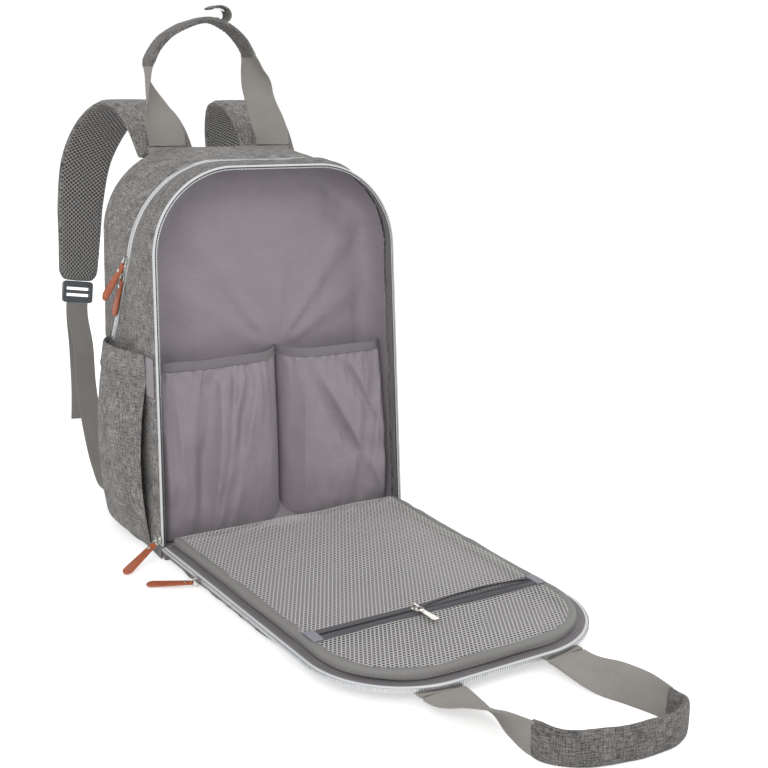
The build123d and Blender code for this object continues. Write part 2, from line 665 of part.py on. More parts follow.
def slider():
    """Zip slider lying on its tape: a plate with a bridge that holds the ring."""
    plate = fillet(
        Box(SLIDER_WIDTH, SLIDER_LENGTH, SLIDER_PLATE).edges().filter_by(Axis.Z), SLIDER_PLATE
    )
    bridge_height = 2 * EYE_HALF_HEIGHT + BAIL_BAR
    bridge = Pos(0, 0, SLIDER_PLATE + bridge_height / 2) * Box(
        BAIL_WIDTH, 2 * BAIL_HALF, bridge_height
    )
    eye = Pos(0, 0, AXLE_HEIGHT) * Box(
        2 * BAIL_WIDTH, 2 * (BAIL_HALF - BAIL_BAR), 2 * EYE_HALF_HEIGHT
    )
    return Pos(0, 0, SLIDER_PLATE / 2) * plate + (bridge - eye)


def pull(length, width, thickness, through_tab):
    """Ring, tab and rivet; the ring goes round the tab's folded end, or through a hole in it."""
    ring_turn = Pos(0, -RING_RADIUS, 0) * Rot(0, 90 if through_tab else 0, 0)
    ring = ring_turn * Torus(RING_RADIUS, RING_WIRE)
    ring_room = ring_turn * Torus(RING_RADIUS, RING_WIRE + SEAM_GAP / 2)
    neck = width * PULL_NECK_SHARE
    top = -2 * RING_RADIUS + RING_WIRE + TAPE
    foot = top - length
    outline = make_face(
        Polyline(
            (-neck / 2, top), (neck / 2, top), (width / 2, foot), (-width / 2, foot), close=True
        )
    )
    outline = fillet(outline.vertices().sort_by(Axis.Y)[:2], width / 2 - TAPE)
    outline = fillet(outline.vertices().sort_by(Axis.Y)[-2:], TAPE)
    tab = Pos(0, 0, -thickness / 2) * extrude(outline, amount=thickness)
    rivet = Pos(0, top - neck, 0) * Cylinder(neck / 4, thickness + TAPE)
    return {"ring": ring, "tab": tab - ring_room - rivet, "rivet": rivet}


def hanging(seat, lift):
    """Place of a pull that hangs down its own zip, lifted off the tape by an angle."""
    return seat.location * Pos(0, 0, AXLE_HEIGHT) * Rot(-lift, 0, 0)


def lying(seat, plan, drop):
    """Place of a flat pull that leaves the bag's left side: its angle in plan, and how it drops."""
    plan, drop = math.radians(plan), math.radians(drop)
    return Plane(
        origin=seat.origin + seat.z_dir * AXLE_HEIGHT,
        x_dir=(math.sin(plan), -math.cos(plan), 0),
        z_dir=(
            -math.cos(plan) * math.sin(drop),
            -math.sin(plan) * math.sin(drop),
            math.cos(drop),
        ),
    ).location


def place_zip(name, seat, hang, pieces, one_node=False):
    """Slider on its seat and its pull in its own place."""
    placed = {key: hang * shape for key, shape in pieces.items()}
    parts[f"{name}_slider"] = seat.location * slider()
    if one_node:
        parts[f"{name}_pull"] = Compound(children=list(placed.values()))
    else:
        parts[f"{name}_pull_tab"] = placed["tab"]
        parts[f"{name}_pull_metal"] = Compound(children=[placed["ring"], placed["rivet"]])


def side_seat(y, height, up, depth):
    """Seat for a slider on the bag's left side, its second axis running up the zip."""
    drift = Vector(0, 1, TOP_RISE)
    outward = drift.cross(Vector(WALL_CLOSING, LEAN_SIN, LEAN_COS)).normalized() * -1
    side = (height - TOP_RISE * (y + HALF_DEPTH)) / (LEAN_COS - TOP_RISE * LEAN_SIN)
    x = -half_width(side) + depth - SLIDER_LIFT
    return Plane(origin=(x, y, height), x_dir=up.cross(outward), z_dir=outward)


leather_pull = pull(PULL_LENGTH, PULL_WIDTH, PULL_THICKNESS, through_tab=False)

# two sliders of the main zip, one above the other on the straight of the left side
MAIN_SLIDER_PLACE = {"main_upper": 7.0, "main_lower": -12.0}
MAIN_PULL_LIFT = {"main_upper": 18.0, "main_lower": 2.0}
main_run = Vector(
    0, MAIN_ZIP_BEND[0] - MAIN_ZIP_LOW[0], MAIN_ZIP_BEND[1] - MAIN_ZIP_LOW[1]
).normalized()
for name, place in MAIN_SLIDER_PLACE.items():
    spot = Vector(0, *MAIN_ZIP_BEND) + main_run * place
    seat = side_seat(spot.Y, spot.Z, main_run, tape_middle - TAPE / 2)
    place_zip(name, seat, hanging(seat, MAIN_PULL_LIFT[name]), leather_pull)

# slider of the big opening at the foot of the left rim, its pull resting on the floor
OPENING_SLIDER_RISE = 6.5
OPENING_SLIDER_SETBACK = 4.7
OPENING_PULL_PLAN = 25.0
OPENING_PULL_DROP = 22.0
opening_z = HINGE_HEIGHT + OPENING_SLIDER_RISE
opening_y = opening_z * LEAN_SIN / LEAN_COS - HALF_DEPTH + OPENING_SLIDER_SETBACK
opening_seat = side_seat(opening_y, opening_z, Vector(0, LEAN_SIN, LEAN_COS), 0)
opening_hang = lying(opening_seat, OPENING_PULL_PLAN, OPENING_PULL_DROP)
place_zip("opening", opening_seat, opening_hang, leather_pull)

# slider of the front pocket, low on the left edge of the flap, its pull flat on the floor
POCKET_SLIDER_REACH = 78.0
POCKET_SLIDER_HEIGHT = 5.6
POCKET_PULL_PLAN = -35.0
POCKET_PULL_DROP = 4.2
pocket_x = FRONT_POCKET_INSET - POCKET_ZIP_WIDTH - half_width(HINGE_REACH + POCKET_SLIDER_REACH)
pocket_seat = Plane(
    origin=flap_point(pocket_x - SLIDER_LIFT, POCKET_SLIDER_REACH, POCKET_SLIDER_HEIGHT),
    x_dir=(0, 0, -1),
    z_dir=(-1, 0, 0),
)
pocket_hang = lying(pocket_seat, POCKET_PULL_PLAN, POCKET_PULL_DROP)
floor_pull = pull(PULL_LENGTH, PULL_WIDTH, PULL_THICKNESS, through_tab=True)
place_zip("front_pocket", pocket_seat, pocket_hang, floor_pull)

# metal pull on the mesh zip, pointing out along the flap
MESH_SLIDER_X = -15.0
MESH_PULL_LIFT = 2.0
mesh_seat = Plane(
    origin=flap_point(MESH_SLIDER_X, MESH_ZIP_REACH, MESH_TOP + SLIDER_LIFT),
    x_dir=(1, 0, 0),
    z_dir=(0, 0, 1),
)
metal_pull = pull(SMALL_PULL_LENGTH, METAL_PULL_WIDTH, METAL_PULL_THICKNESS, through_tab=False)
place_zip("mesh", mesh_seat, hanging(mesh_seat, MESH_PULL_LIFT), metal_pull, one_node=True)

# back pocket zip with two small sliders near its foot
BACK_SLIDER_HEIGHT = {"back_upper": 88.0, "back_lower": 74.0}
BACK_PULL_LIFT = {"back_upper": 27.0, "back_lower": 3.0}
parts["back_zip"] = room(
    (-BACK_ZIP_X - MAIN_TAPE / 2, HALF_DEPTH, BACK_ZIP_LOW),
    (-BACK_ZIP_X + MAIN_TAPE / 2, HALF_DEPTH + TAPE, BACK_ZIP_HIGH),
)
small_pull = pull(SMALL_PULL_LENGTH, PULL_NECK_SHARE * PULL_WIDTH, PULL_THICKNESS, through_tab=False)
for name, height in BACK_SLIDER_HEIGHT.items():
    seat = Plane(
        origin=(-BACK_ZIP_X, HALF_DEPTH + TAPE + SLIDER_LIFT, height),
        x_dir=(-1, 0, 0),
        z_dir=(0, 1, 0),
    )
    place_zip(name, seat, hanging(seat, BACK_PULL_LIFT[name]), small_pull, one_node=True)

os.makedirs("parts", exist_ok=True)
for name, shape in parts.items():
    export_step(shape, f"parts/{name}.step")
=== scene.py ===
import json
import math

import bpy
import numpy as np
from bpy.props import FloatProperty, FloatVectorProperty, PointerProperty
from mathutils import Matrix, Vector


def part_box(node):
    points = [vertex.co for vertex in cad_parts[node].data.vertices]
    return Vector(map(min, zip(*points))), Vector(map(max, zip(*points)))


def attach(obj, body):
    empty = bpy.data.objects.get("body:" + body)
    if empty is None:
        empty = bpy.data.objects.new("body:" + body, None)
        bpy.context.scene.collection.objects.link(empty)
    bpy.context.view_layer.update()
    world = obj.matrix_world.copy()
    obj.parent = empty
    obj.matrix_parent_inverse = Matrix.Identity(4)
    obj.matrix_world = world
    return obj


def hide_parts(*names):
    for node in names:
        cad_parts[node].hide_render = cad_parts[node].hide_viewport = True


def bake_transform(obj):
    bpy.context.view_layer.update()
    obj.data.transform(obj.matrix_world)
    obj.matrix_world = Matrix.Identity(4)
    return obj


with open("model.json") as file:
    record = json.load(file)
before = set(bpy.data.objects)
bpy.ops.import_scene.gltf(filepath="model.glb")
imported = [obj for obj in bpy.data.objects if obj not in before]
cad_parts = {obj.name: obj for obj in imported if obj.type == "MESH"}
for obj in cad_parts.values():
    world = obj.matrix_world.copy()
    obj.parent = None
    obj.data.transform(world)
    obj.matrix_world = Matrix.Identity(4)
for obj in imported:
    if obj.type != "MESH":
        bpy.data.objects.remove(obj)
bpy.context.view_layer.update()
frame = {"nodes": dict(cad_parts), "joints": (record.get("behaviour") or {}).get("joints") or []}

bl_info = {
    "name": "Open Diaper Backpack",
    "version": (1, 0, 0),
    "blender": (4, 5, 0),
    "location": "3D View > Sidebar > Backpack",
    "description": "Cloth, webbing, zips and leather of a diaper backpack with its front laid open",
    "category": "Add Mesh",
}

# ---------- shape shared with the frame
HALF_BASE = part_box("front_sill")[1].x
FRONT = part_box("front_sill")[0].y
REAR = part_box("back_panel")[1].y
RIM_SLOPE = math.radians(3.5)
RIM_COS, RIM_SIN = math.cos(RIM_SLOPE), math.sin(RIM_SLOPE)
RIM_LENGTH = 0.393 / RIM_COS
CLOSING = 0.008 / RIM_LENGTH
CORNER = 0.09
TOP_RISE = (0.404 - 0.393) / (0.16 - RIM_LENGTH * RIM_SIN)
HINGE_Y = -0.0790642
HINGE_Z = 0.0153
HINGE_REACH = HINGE_Z / RIM_COS
FLAP_LENGTH = RIM_LENGTH - HINGE_REACH
FLAP_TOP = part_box("flap_panel")[1].z
FLAP_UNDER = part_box("flap_panel")[0].z
ZIP_FOOT, ZIP_BEND, ZIP_TOP = (0.058, 0.203), (0.012, 0.29), (-0.018, 0.412)
ZIP_HALF = 0.004
BINDING_MIDDLE = 0.0155
POCKET_TOP = 0.1868
MESH_ZIP_REACH = 0.268
POCKET_REACH = 0.292
TRIM_WIDTH = 0.0102
CUSHION_FOOT, CUSHION_TOP = 0.0302, 0.3735
CUSHION_INSET = 0.0306
CHANNEL_X = 0.052
MESH_ZIP_HALF = 0.5 * (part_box("mesh_zip")[1].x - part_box("mesh_zip")[0].x)
TURN = 2 * math.pi


# ---------- numbers
def unit(vectors):
    """Each vector divided by its own length."""
    return vectors / np.maximum(np.linalg.norm(vectors, axis=-1, keepdims=True), 1e-12)


def ease(value, low, high):
    """Smooth step from 0 at low to 1 at high: three times the square less twice the cube."""
    t = np.clip((np.asarray(value, float) - low) / (high - low), 0, 1)
    return t * t * (3 - 2 * t)


def hump(value, middle, width):
    """Bell: e to the minus square of the distance from the middle over the width."""
    return np.exp(-(((np.asarray(value, float) - middle) / width) ** 2))


def bent(value, power):
    """A value raised to a power with its sign kept, which squares off or sharpens a circle."""
    return np.sign(value) * np.abs(value) ** power


def quarter_oval(t):
    """Rise from 0 at 0 to 1 at 1: the root of one less the square of one less t."""
    return np.sqrt(np.maximum(1 - (1 - t) ** 2, 0))


def grid_of(x, y, z):
    """Points from three coordinates, each spread over the shape of the others."""
    return np.stack(np.broadcast_arrays(x, y, z), -1)


def travelled(points):
    """Distance along a line of points from its first point."""
    steps = np.linalg.norm(np.diff(points, axis=0), axis=1)
    return np.concatenate([[0], np.cumsum(steps)])


def facing(direction, count):
    """The same direction at each of a number of points."""
    return np.tile(np.asarray(direction, float), (count, 1))


def evenly(points, count):
    """The same line with evenly spaced points: each coordinate is read off by distance along it."""
    points = np.asarray(points, float)
    place = travelled(points[:, :3])
    wanted = np.linspace(0, place[-1], count)
    return np.stack([np.interp(wanted, place, column) for column in points.T], 1)


def curve_through(points, count):
    """Smooth curve through points: a cubic between each two, whose slope at a point is the line
    between its neighbours. Columns after the third, such as an angle, are carried along."""
    points = np.asarray(points, float)
    place = travelled(points[:, :3])
    slope = np.gradient(points, place, axis=0)
    t = np.linspace(0, place[-1], count)
    i = np.clip(np.searchsorted(place, t, side="right") - 1, 0, len(points) - 2)
    span = (place[i + 1] - place[i])[:, None]
    s = (t - place[i])[:, None] / span
    start = (2 * s**3 - 3 * s**2 + 1) * points[i] + (s**3 - 2 * s**2 + s) * span * slope[i]
    end = (3 * s**2 - 2 * s**3) * points[i + 1] + (s**3 - s**2) * span * slope[i + 1]
    return evenly(start + end, count)


def ripple(points, size, seed, octaves=3):
    """Soft unevenness from about -1 to 1: sine waves in fixed random directions, where each
    further group is half as long and half as high."""
    random = np.random.default_rng(seed)
    total = np.zeros(points.shape[:-1])
    for octave in range(octaves):
        for _ in range(4):
            way = unit(random.normal(size=points.shape[-1]))
            phase = random.uniform(0, TURN)
            total += np.sin(points @ way * TURN * 2**octave / size + phase) * 0.5**octave / 3
    return total


# ---------- meshes
def between(grid, axis):
    """Mean distance along one direction of a grid, so a cloth pattern keeps its size."""
    step = np.linalg.norm(np.diff(grid, axis=axis), axis=-1).mean(axis=1 - axis)
    place = np.concatenate([[0], np.cumsum(step)])
    shape = [1, 1]
    shape[axis] = -1
    return np.broadcast_to(place.reshape(shape), grid.shape[:2])


def grid_mesh(name, grid, closed=(False, False), keep=None, flip=False, caps=False, finish_of=None):
    """Quads between the neighbours of a grid of points. The UV map holds the mean distance
    across and along the grid in metres. keep and finish_of give one value for each quad."""
    rows, columns = grid.shape[:2]
    pad = ((0, int(closed[0])), (0, int(closed[1])))
    index = np.pad(np.arange(rows * columns).reshape(rows, columns), pad, mode="wrap")
    wrapped = np.pad(grid, (*pad, (0, 0)), mode="wrap")
    place = np.stack([between(wrapped, 1), between(wrapped, 0)], -1)

    def corners(values):
        """Values at the four corners of each quad."""
        order = [values[:-1, :-1], values[:-1, 1:], values[1:, 1:], values[1:, :-1]]
        return np.stack(order[::-1] if flip else order, 2)

    quads, spots = corners(index), corners(place)
    chosen = np.ones(quads.shape[:2], bool) if keep is None else keep
    finish = np.zeros(quads.shape[:2], int) if finish_of is None else finish_of
    quads, spots, finish = quads[chosen], spots[chosen], finish[chosen]
    used, quads = np.unique(quads, return_inverse=True)
    quads = quads.reshape(-1, 4)
    faces = quads.tolist()
    spots = spots.reshape(-1, 2)
    if caps:
        ends = [index[0, :columns], index[-1, :columns][::-1]]
        for end in ends:
            end = end if flip else end[::-1]
            faces.append(end.tolist())
            flat = grid.reshape(-1, 3)[end]
            spots = np.concatenate([spots, (flat - flat.mean(0))[:, :2]])
        finish = np.concatenate([finish, [0, 0]])
    mesh = bpy.data.meshes.new(name)
    mesh.from_pydata(grid.reshape(-1, 3)[used], [], faces)
    mesh.uv_layers.new(name="UVMap").data.foreach_set("uv", spots.ravel().astype(np.float32))
    mesh.polygons.foreach_set("material_index", finish.astype(np.int32))
    mesh.shade_smooth()
    return mesh


def repeated_mesh(name, centres, across, outward, points, faces, smooth=False):
    """One small shape at every place: each point is the centre plus its first coordinate across,
    its second along and its third outward."""
    across, outward = unit(across), unit(outward)
    along = np.cross(outward, across)
    axes = np.stack([across, along, outward], 1)
    placed = centres[:, None] + np.asarray(points, float)[None] @ axes
    count, size = len(centres), len(points)
    indices = (np.asarray(faces)[None] + size * np.arange(count)[:, None, None]).reshape(-1, 4)
    mesh = bpy.data.meshes.new(name)
    mesh.from_pydata(placed.reshape(-1, 3), [], indices.tolist())
    if smooth:
        mesh.shade_smooth()
    mesh.uv_layers.new(name="UVMap")
    return mesh


def path_frame(path, side):
    """Three square directions along a path: its tangent, the side direction less its share along
    the tangent, and the tangent crossed with that."""
    tangent = unit(np.gradient(path, axis=0))
    across = unit(side - tangent * (side * tangent).sum(1, keepdims=True))
    return tangent, across, np.cross(tangent, across)


def swept(path, side, outline):
    """Outline carried along a path: a point is the path point, plus its first coordinate along
    the side direction, plus its second along the normal, which is the tangent crossed with it."""
    _, side, normal = path_frame(path, side)
    outline = np.asarray(outline, float)
    if outline.ndim == 2:
        outline = np.broadcast_to(outline, (len(path), *outline.shape))
    return path[:, None] + side[:, None] * outline[..., :1] + normal[:, None] * outline[..., 1:]


def rounded(width, depth, count=24, power=4.0):
    """Soft-cornered outline: cosine and sine of an angle, each raised to two over the power."""
    angle = np.arange(count) * TURN / count
    c, s = np.cos(angle), np.sin(angle)
    x = bent(c, 2 / power) * width / 2
    y = bent(s, 2 / power) * depth / 2
    return np.stack([x, y], 1)


def linked(name, data):
    """New object for a mesh, light or camera, linked into the scene."""
    piece = bpy.data.objects.new(name, data)
    bpy.context.scene.collection.objects.link(piece)
    return piece


def place(mesh, body, finishes, slot, replaces=(), thickness=0.0, offset=-1.0, levels=0, bevel=0.0):
    """Puts a mesh in the scene on its body, with its finishes, wall thickness and rounding."""
    piece = linked(mesh.name, mesh)
    for finish in finishes:
        mesh.materials.append(bpy.data.materials[finish])
    if thickness:
        wall = piece.modifiers.new("wall", "SOLIDIFY")
        wall.thickness = thickness
        wall.offset = offset
        wall.use_even_offset = False
        wall.use_quality_normals = True
    if bevel:
        edge = piece.modifiers.new("edge", "BEVEL")
        edge.width = bevel
        edge.segments = 2
        edge.limit_method = "ANGLE"
    if levels:
        smooth = piece.modifiers.new("smooth", "SUBSURF")
        smooth.levels = smooth.render_levels = levels
    if replaces:
        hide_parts(*replaces)
    if body is not None:
        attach(piece, body)
    return piece


def brick(width, length, height):
    """Corner points and faces of a small block that stands on its base."""
    x, y = width / 2, length / 2
    points = [(a * x, b * y, c) for c in (0, height) for a, b in ((-1, -1), (1, -1), (1, 1), (-1, 1))]
    faces = [(3, 2, 1, 0), (4, 5, 6, 7), (0, 1, 5, 4), (1, 2, 6, 5), (2, 3, 7, 6), (3, 0, 4, 7)]
    return points, faces


def thread(length, radius):
    """Points and faces of one stitch: a six-sided tube that thins and dips at both ends."""
    stations = np.array([-0.5, -0.36, 0.0, 0.36, 0.5]) * length
    sizes = np.array([0.35, 0.9, 1.0, 0.9, 0.35]) * radius
    drops = np.array([-0.9, 0.1, 0.35, 0.1, -0.9]) * radius
    angle = np.arange(6) * TURN / 6
    rings = [
        np.stack([np.cos(angle) * r, np.full(6, y), np.sin(angle) * r + z], 1)
        for y, r, z in zip(stations, sizes, drops)
    ]
    faces = [
        (6 * k + i, 6 * k + 6 + i, 6 * k + 6 + (i + 1) % 6, 6 * k + (i + 1) % 6)
        for k in range(4)
        for i in range(6)
    ]
    faces += [(0, 1, 2, 3), (0, 3, 4, 5), (27, 26, 25, 24), (29, 28, 27, 24)]
    return np.concatenate(rings), faces


def stitched(name, path, outward, body, finish="seam_thread", slot="heather_fabric", length=0.003,
             gap=0.0014):
    """Row of stitches along a path, each one stitch length with a gap after it."""
    sizes = bpy.context.scene.backpack_trim
    full = travelled(path)[-1]
    count = max(2, int(full / (length + gap)))
    line = evenly(np.concatenate([path, outward], 1), count)
    centres, out = line[:, :3], unit(line[:, 3:])
    along = np.gradient(centres, axis=0)
    points, faces = thread(length, sizes.thread_radius)
    mesh = repeated_mesh(name, centres, np.cross(along, out), out, points, faces, smooth=True)
    return place(mesh, body, [finish], slot)


# ---------- finishes
class Finish:
    """A new material, or new surroundings, with short calls for its nodes."""

    def __init__(self, name, kind="materials"):
        """Makes it with an empty node tree."""
        self.owner = getattr(bpy.data, kind).new(name)
        self.owner.use_nodes = True
        self.tree = self.owner.node_tree
        self.tree.nodes.clear()

    def add(self, kind, inputs=None, **settings):
        """One node, with its settings and its inputs as values or sockets."""
        node = self.tree.nodes.new("ShaderNode" + kind)
        for key, value in settings.items():
            setattr(node, key, value)
        for key, value in (inputs or {}).items():
            if isinstance(value, bpy.types.NodeSocket):
                self.tree.links.new(value, node.inputs[key])
            else:
                node.inputs[key].default_value = value
        return node

    def math(self, operation, *values):
        """Result of one sum on sockets or numbers."""
        return self.add("Math", dict(enumerate(values)), operation=operation).outputs[0]

    def scaled(self, value, factor, shift=0.0):
        """A value times a factor plus a shift."""
        return self.math("MULTIPLY_ADD", value, factor, shift)

    def cloth_place(self):
        """Place on the cloth in metres, across and along."""
        spot = self.add("SeparateXYZ", {0: self.add("UVMap", uv_map="UVMap").outputs[0]})
        self.spot = spot.outputs[0], spot.outputs[1]
        return self.spot

    def point(self, x, y, z=0.0):
        """Vector from three numbers."""
        return self.add("CombineXYZ", {0: x, 1: y, 2: z}).outputs[0]

    def noise(self, vector, scale, detail=2.0, roughness=0.5):
        """Soft noise from 0 to 1."""
        values = {"Vector": vector, "Scale": scale, "Detail": detail, "Roughness": roughness}
        return self.add("TexNoise", values).outputs[0]

    def grain(self, across, along, shift=0.0, detail=2.0, roughness=0.5):
        """Noise on the cloth, with so many grains to a metre across and along it."""
        u, v = self.spot
        spot = self.point(self.scaled(u, across), self.scaled(v, along), shift)
        return self.noise(spot, 1.0, detail, roughness)

    def wave(self, value, length):
        """Sine of a distance with a wave of this length, from 0 to 1."""
        return self.scaled(self.math("SINE", self.scaled(value, TURN / length)), 0.5, 0.5)

    def stops(self, factor, colours):
        """Colour between evenly spaced or placed colours."""
        ramp = self.add("ValToRGB", {0: factor})
        while len(ramp.color_ramp.elements) < len(colours):
            ramp.color_ramp.elements.new(0.5)
        for element, (spot, colour) in zip(ramp.color_ramp.elements, colours):
            element.position = spot
            element.color = (*colour, 1)
        return ramp.outputs[0]

    def mix(self, factor, first, second):
        """Blend of two colours."""
        node = self.add("Mix", data_type="RGBA")
        for socket, value in ((node.inputs[0], factor), (node.inputs[6], first), (node.inputs[7], second)):
            if isinstance(value, bpy.types.NodeSocket):
                self.tree.links.new(value, socket)
            else:
                socket.default_value = value if isinstance(value, float) else (*value, 1)
        return node.outputs[2]

    def surface(self, colour, roughness, height=None, depth=0.0002, **constants):
        """The shader, with raised detail from a height and constants on its own sockets."""
        values = {"Base Color": colour, "Roughness": roughness}
        if height is not None:
            raised = {"Strength": 1.0, "Distance": depth, "Height": height}
            values["Normal"] = self.add("Bump", raised).outputs[0]
        values.update({key.replace("_", " "): value for key, value in constants.items()})
        shader = self.add("BsdfPrincipled", values)
        self.add("OutputMaterial", {0: shader.outputs[0]})


def shade(colour, factor):
    """A colour made lighter or darker."""
    return tuple(min(1.0, c * factor) for c in colour)


def heather_finish(name, light, dark, thread_size):
    """Two-tone plain weave: fibres as noise drawn out along both threads, over a fine weave."""
    f = Finish(name)
    u, v = f.cloth_place()
    wide, fine = 1 / (thread_size * 7), 1 / thread_size
    warp = f.grain(fine, wide, roughness=0.6)
    weft = f.grain(wide, fine, 7.3, roughness=0.6)
    cloud = f.grain(45.0, 45.0, 3.1, 3.0)
    slub_up = f.grain(1 / (thread_size * 2.4), 1 / (thread_size * 22), 5.0, 1.0)
    slub_across = f.grain(1 / (thread_size * 26), 1 / (thread_size * 2.2), 9.0, 1.0)
    threads = f.math("ADD", f.scaled(warp, 0.26), f.scaled(weft, 0.26))
    slubs = f.math("ADD", f.scaled(slub_up, 0.27), f.scaled(slub_across, 0.21))
    tone = f.math("ADD", f.math("ADD", threads, slubs), f.scaled(cloud, 0.1, -0.05))
    weave = f.math("MULTIPLY", f.wave(u, thread_size * 2), f.wave(v, thread_size * 2))
    middle = tuple((a + b) / 2 for a, b in zip(light, dark))
    stops = [(0.37, shade(dark, 0.75)), (0.44, dark), (0.51, middle), (0.58, light)]
    stops.append((0.66, shade(light, 1.3)))
    colour = f.stops(tone, stops)
    height = f.math("ADD", f.scaled(weave, 0.5), tone)
    f.surface(colour, 0.92, height, 0.0004, Sheen_Weight=0.12, Sheen_Roughness=0.6, Specular_IOR_Level=0.25)


def ripstop_finish(name, colour, pitch, gloss):
    """Thin lining: fine ribs one way, raised threads both ways at a set pitch, faint sheen."""
    f = Finish(name)
    u, v = f.cloth_place()
    ribs = f.wave(v, pitch / 3)
    lines = f.math(
        "MAXIMUM", f.math("POWER", f.wave(u, pitch), 14.0), f.math("POWER", f.wave(v, pitch), 14.0),
    )
    cloud = f.grain(30.0, 30.0, detail=3.0)
    slub = f.grain(60.0, 1600.0)
    tone = f.math("ADD", f.scaled(cloud, 0.35), f.math("ADD", f.scaled(slub, 0.5), f.scaled(lines, 0.1)))
    paint = f.stops(tone, [(0.25, shade(colour, 0.86)), (0.5, colour), (0.8, shade(colour, 1.16))])
    height = f.math("ADD", f.scaled(ribs, 0.5), f.math("ADD", f.scaled(lines, 0.45), f.scaled(slub, 0.6)))
    rough = f.scaled(cloud, 0.12, gloss)
    f.surface(paint, rough, height, 0.00012, Sheen_Weight=0.08, Specular_IOR_Level=0.4)


def webbing_finish(name, colour, band=0.006, pitch=0.0016):
    """Herringbone webbing: slanting ribs whose slant turns over from band to band."""
    f = Finish(name)
    u, v = f.cloth_place()
    fold = f.math("PINGPONG", u, band)
    ribs = f.wave(f.math("ADD", fold, v), pitch)
    fuzz = f.grain(900.0, 900.0)
    cloud = f.grain(40.0, 40.0, 2.0)
    tone = f.math("ADD", f.scaled(ribs, 0.45), f.math("ADD", f.scaled(fuzz, 0.35), f.scaled(cloud, 0.3)))
    paint = f.stops(tone, [(0.2, shade(colour, 0.78)), (0.55, colour), (0.9, shade(colour, 1.2))])
    height = f.math("ADD", ribs, f.scaled(fuzz, 0.4))
    f.surface(paint, 0.8, height, 0.0003, Sheen_Weight=0.1, Specular_IOR_Level=0.3)


def ribbed_finish(name, colour, pitch, roughness, contrast=0.2, along=True, depth=0.0003, **constants):
    """Band with straight ribs at a set pitch, along or across it, and a little fuzz."""
    f = Finish(name)
    u, v = f.cloth_place()
    ribs = f.wave(v if along else u, pitch)
    fuzz = f.grain(700.0, 700.0)
    tone = f.math("ADD", f.scaled(ribs, 0.6), f.scaled(fuzz, 0.4))
    paint = f.stops(tone, [(0.15, shade(colour, 1 - contrast)), (0.85, shade(colour, 1 + contrast))])
    f.surface(paint, roughness, f.math("ADD", ribs, f.scaled(fuzz, 0.3)), depth, **constants)


def air_mesh_finish(name, colour, pitch):
    """Spacer mesh: two lattices of round holes, one set half a step from the other, with raised threads
    between them. The holes are painted dark as painted shade of their depth."""
    f = Finish(name)
    u, v = f.cloth_place()

    def lattice(shift):
        """Distance from the middle of the nearest hole of one lattice."""
        x = f.math("PINGPONG", f.scaled(u, 1.0, shift * pitch), pitch)
        y = f.math("PINGPONG", f.scaled(v, 1.0, shift * pitch * 0.9), pitch * 0.9)
        return f.math("SQRT", f.math("ADD", f.math("MULTIPLY", x, x), f.math("MULTIPLY", y, y)))

    near = f.math("MINIMUM", lattice(0.0), lattice(1.0))
    ends = {0: near, 1: pitch * 0.36, 2: pitch * 0.62}
    rim = f.add("MapRange", ends, interpolation_type="SMOOTHSTEP").outputs[0]
    fuzz = f.grain(1100.0, 1100.0)
    tone = f.math("MULTIPLY", rim, f.scaled(fuzz, 0.5, 0.75))
    # dark hole colour is painted shade of the holes' depth; the threads keep the mesh's own colour
    paint = f.stops(
        tone, [(0.0, shade(colour, 0.16)), (0.35, shade(colour, 0.4)), (1.0, shade(colour, 1.15))],
    )
    f.surface(paint, 0.88, tone, 0.0012, Sheen_Weight=0.08, Specular_IOR_Level=0.25)


def leather_finish(name, colour):
    """Smooth leather: fine cells and pores, mottled tone and a waxy shine that wears unevenly."""
    f = Finish(name)
    spot = f.add("TexCoord").outputs["Object"]
    cells = f.add("TexVoronoi", {"Vector": spot, "Scale": 1500.0}, feature="F1").outputs[0]
    mottle = f.noise(spot, 160.0, 4.0, 0.6)
    wear = f.noise(spot, 60.0, 2.0)
    paint = f.stops(mottle, [(0.3, shade(colour, 0.72)), (0.52, colour), (0.72, shade(colour, 1.22))])
    rough = f.scaled(wear, 0.3, 0.32)
    height = f.math("ADD", f.scaled(cells, 0.6), f.scaled(mottle, 0.6))
    f.surface(paint, rough, height, 0.00012, Specular_IOR_Level=0.5, Coat_Weight=0.08, Coat_Roughness=0.4)


def nickel_finish(name, colour):
    """Nickel plate: fine rubbing marks and uneven shine."""
    f = Finish(name)
    spot = f.add("TexCoord").outputs["Object"]
    marks = f.noise(f.add("Mapping", {"Vector": spot, "Scale": (1.0, 1.0, 6.0)}).outputs[0], 900.0, 3.0)
    stain = f.noise(spot, 220.0, 2.0)
    paint = f.stops(stain, [(0.3, shade(colour, 0.86)), (0.7, colour)])
    f.surface(paint, f.scaled(marks, 0.22, 0.14), marks, 0.00003, Metallic=1.0)


def plastic_finish(name, colour):
    """Moulded plastic: fine spark-eroded grain."""
    f = Finish(name)
    spot = f.add("TexCoord").outputs["Object"]
    grain = f.noise(spot, 1400.0, 2.0)
    cloud = f.noise(spot, 80.0, 2.0)
    paint = f.stops(cloud, [(0.3, shade(colour, 0.88)), (0.7, shade(colour, 1.1))])
    f.surface(paint, f.scaled(grain, 0.16, 0.4), grain, 0.00006, Specular_IOR_Level=0.5)


def silver_finish(name, colour, pitch):
    """Silver-coated zip tape: fine cross ribs, a metallic coat worn through at the threads."""
    f = Finish(name)
    _, v = f.cloth_place()
    ribs = f.wave(v, pitch)
    fuzz = f.grain(1500.0, 1500.0)
    tone = f.math("ADD", f.scaled(ribs, 0.5), f.scaled(fuzz, 0.5))
    paint = f.stops(tone, [(0.2, shade(colour, 0.8)), (0.7, colour)])
    f.surface(paint, f.scaled(fuzz, 0.2, 0.34), ribs, 0.00012, Metallic=0.2, Specular_IOR_Level=0.5)


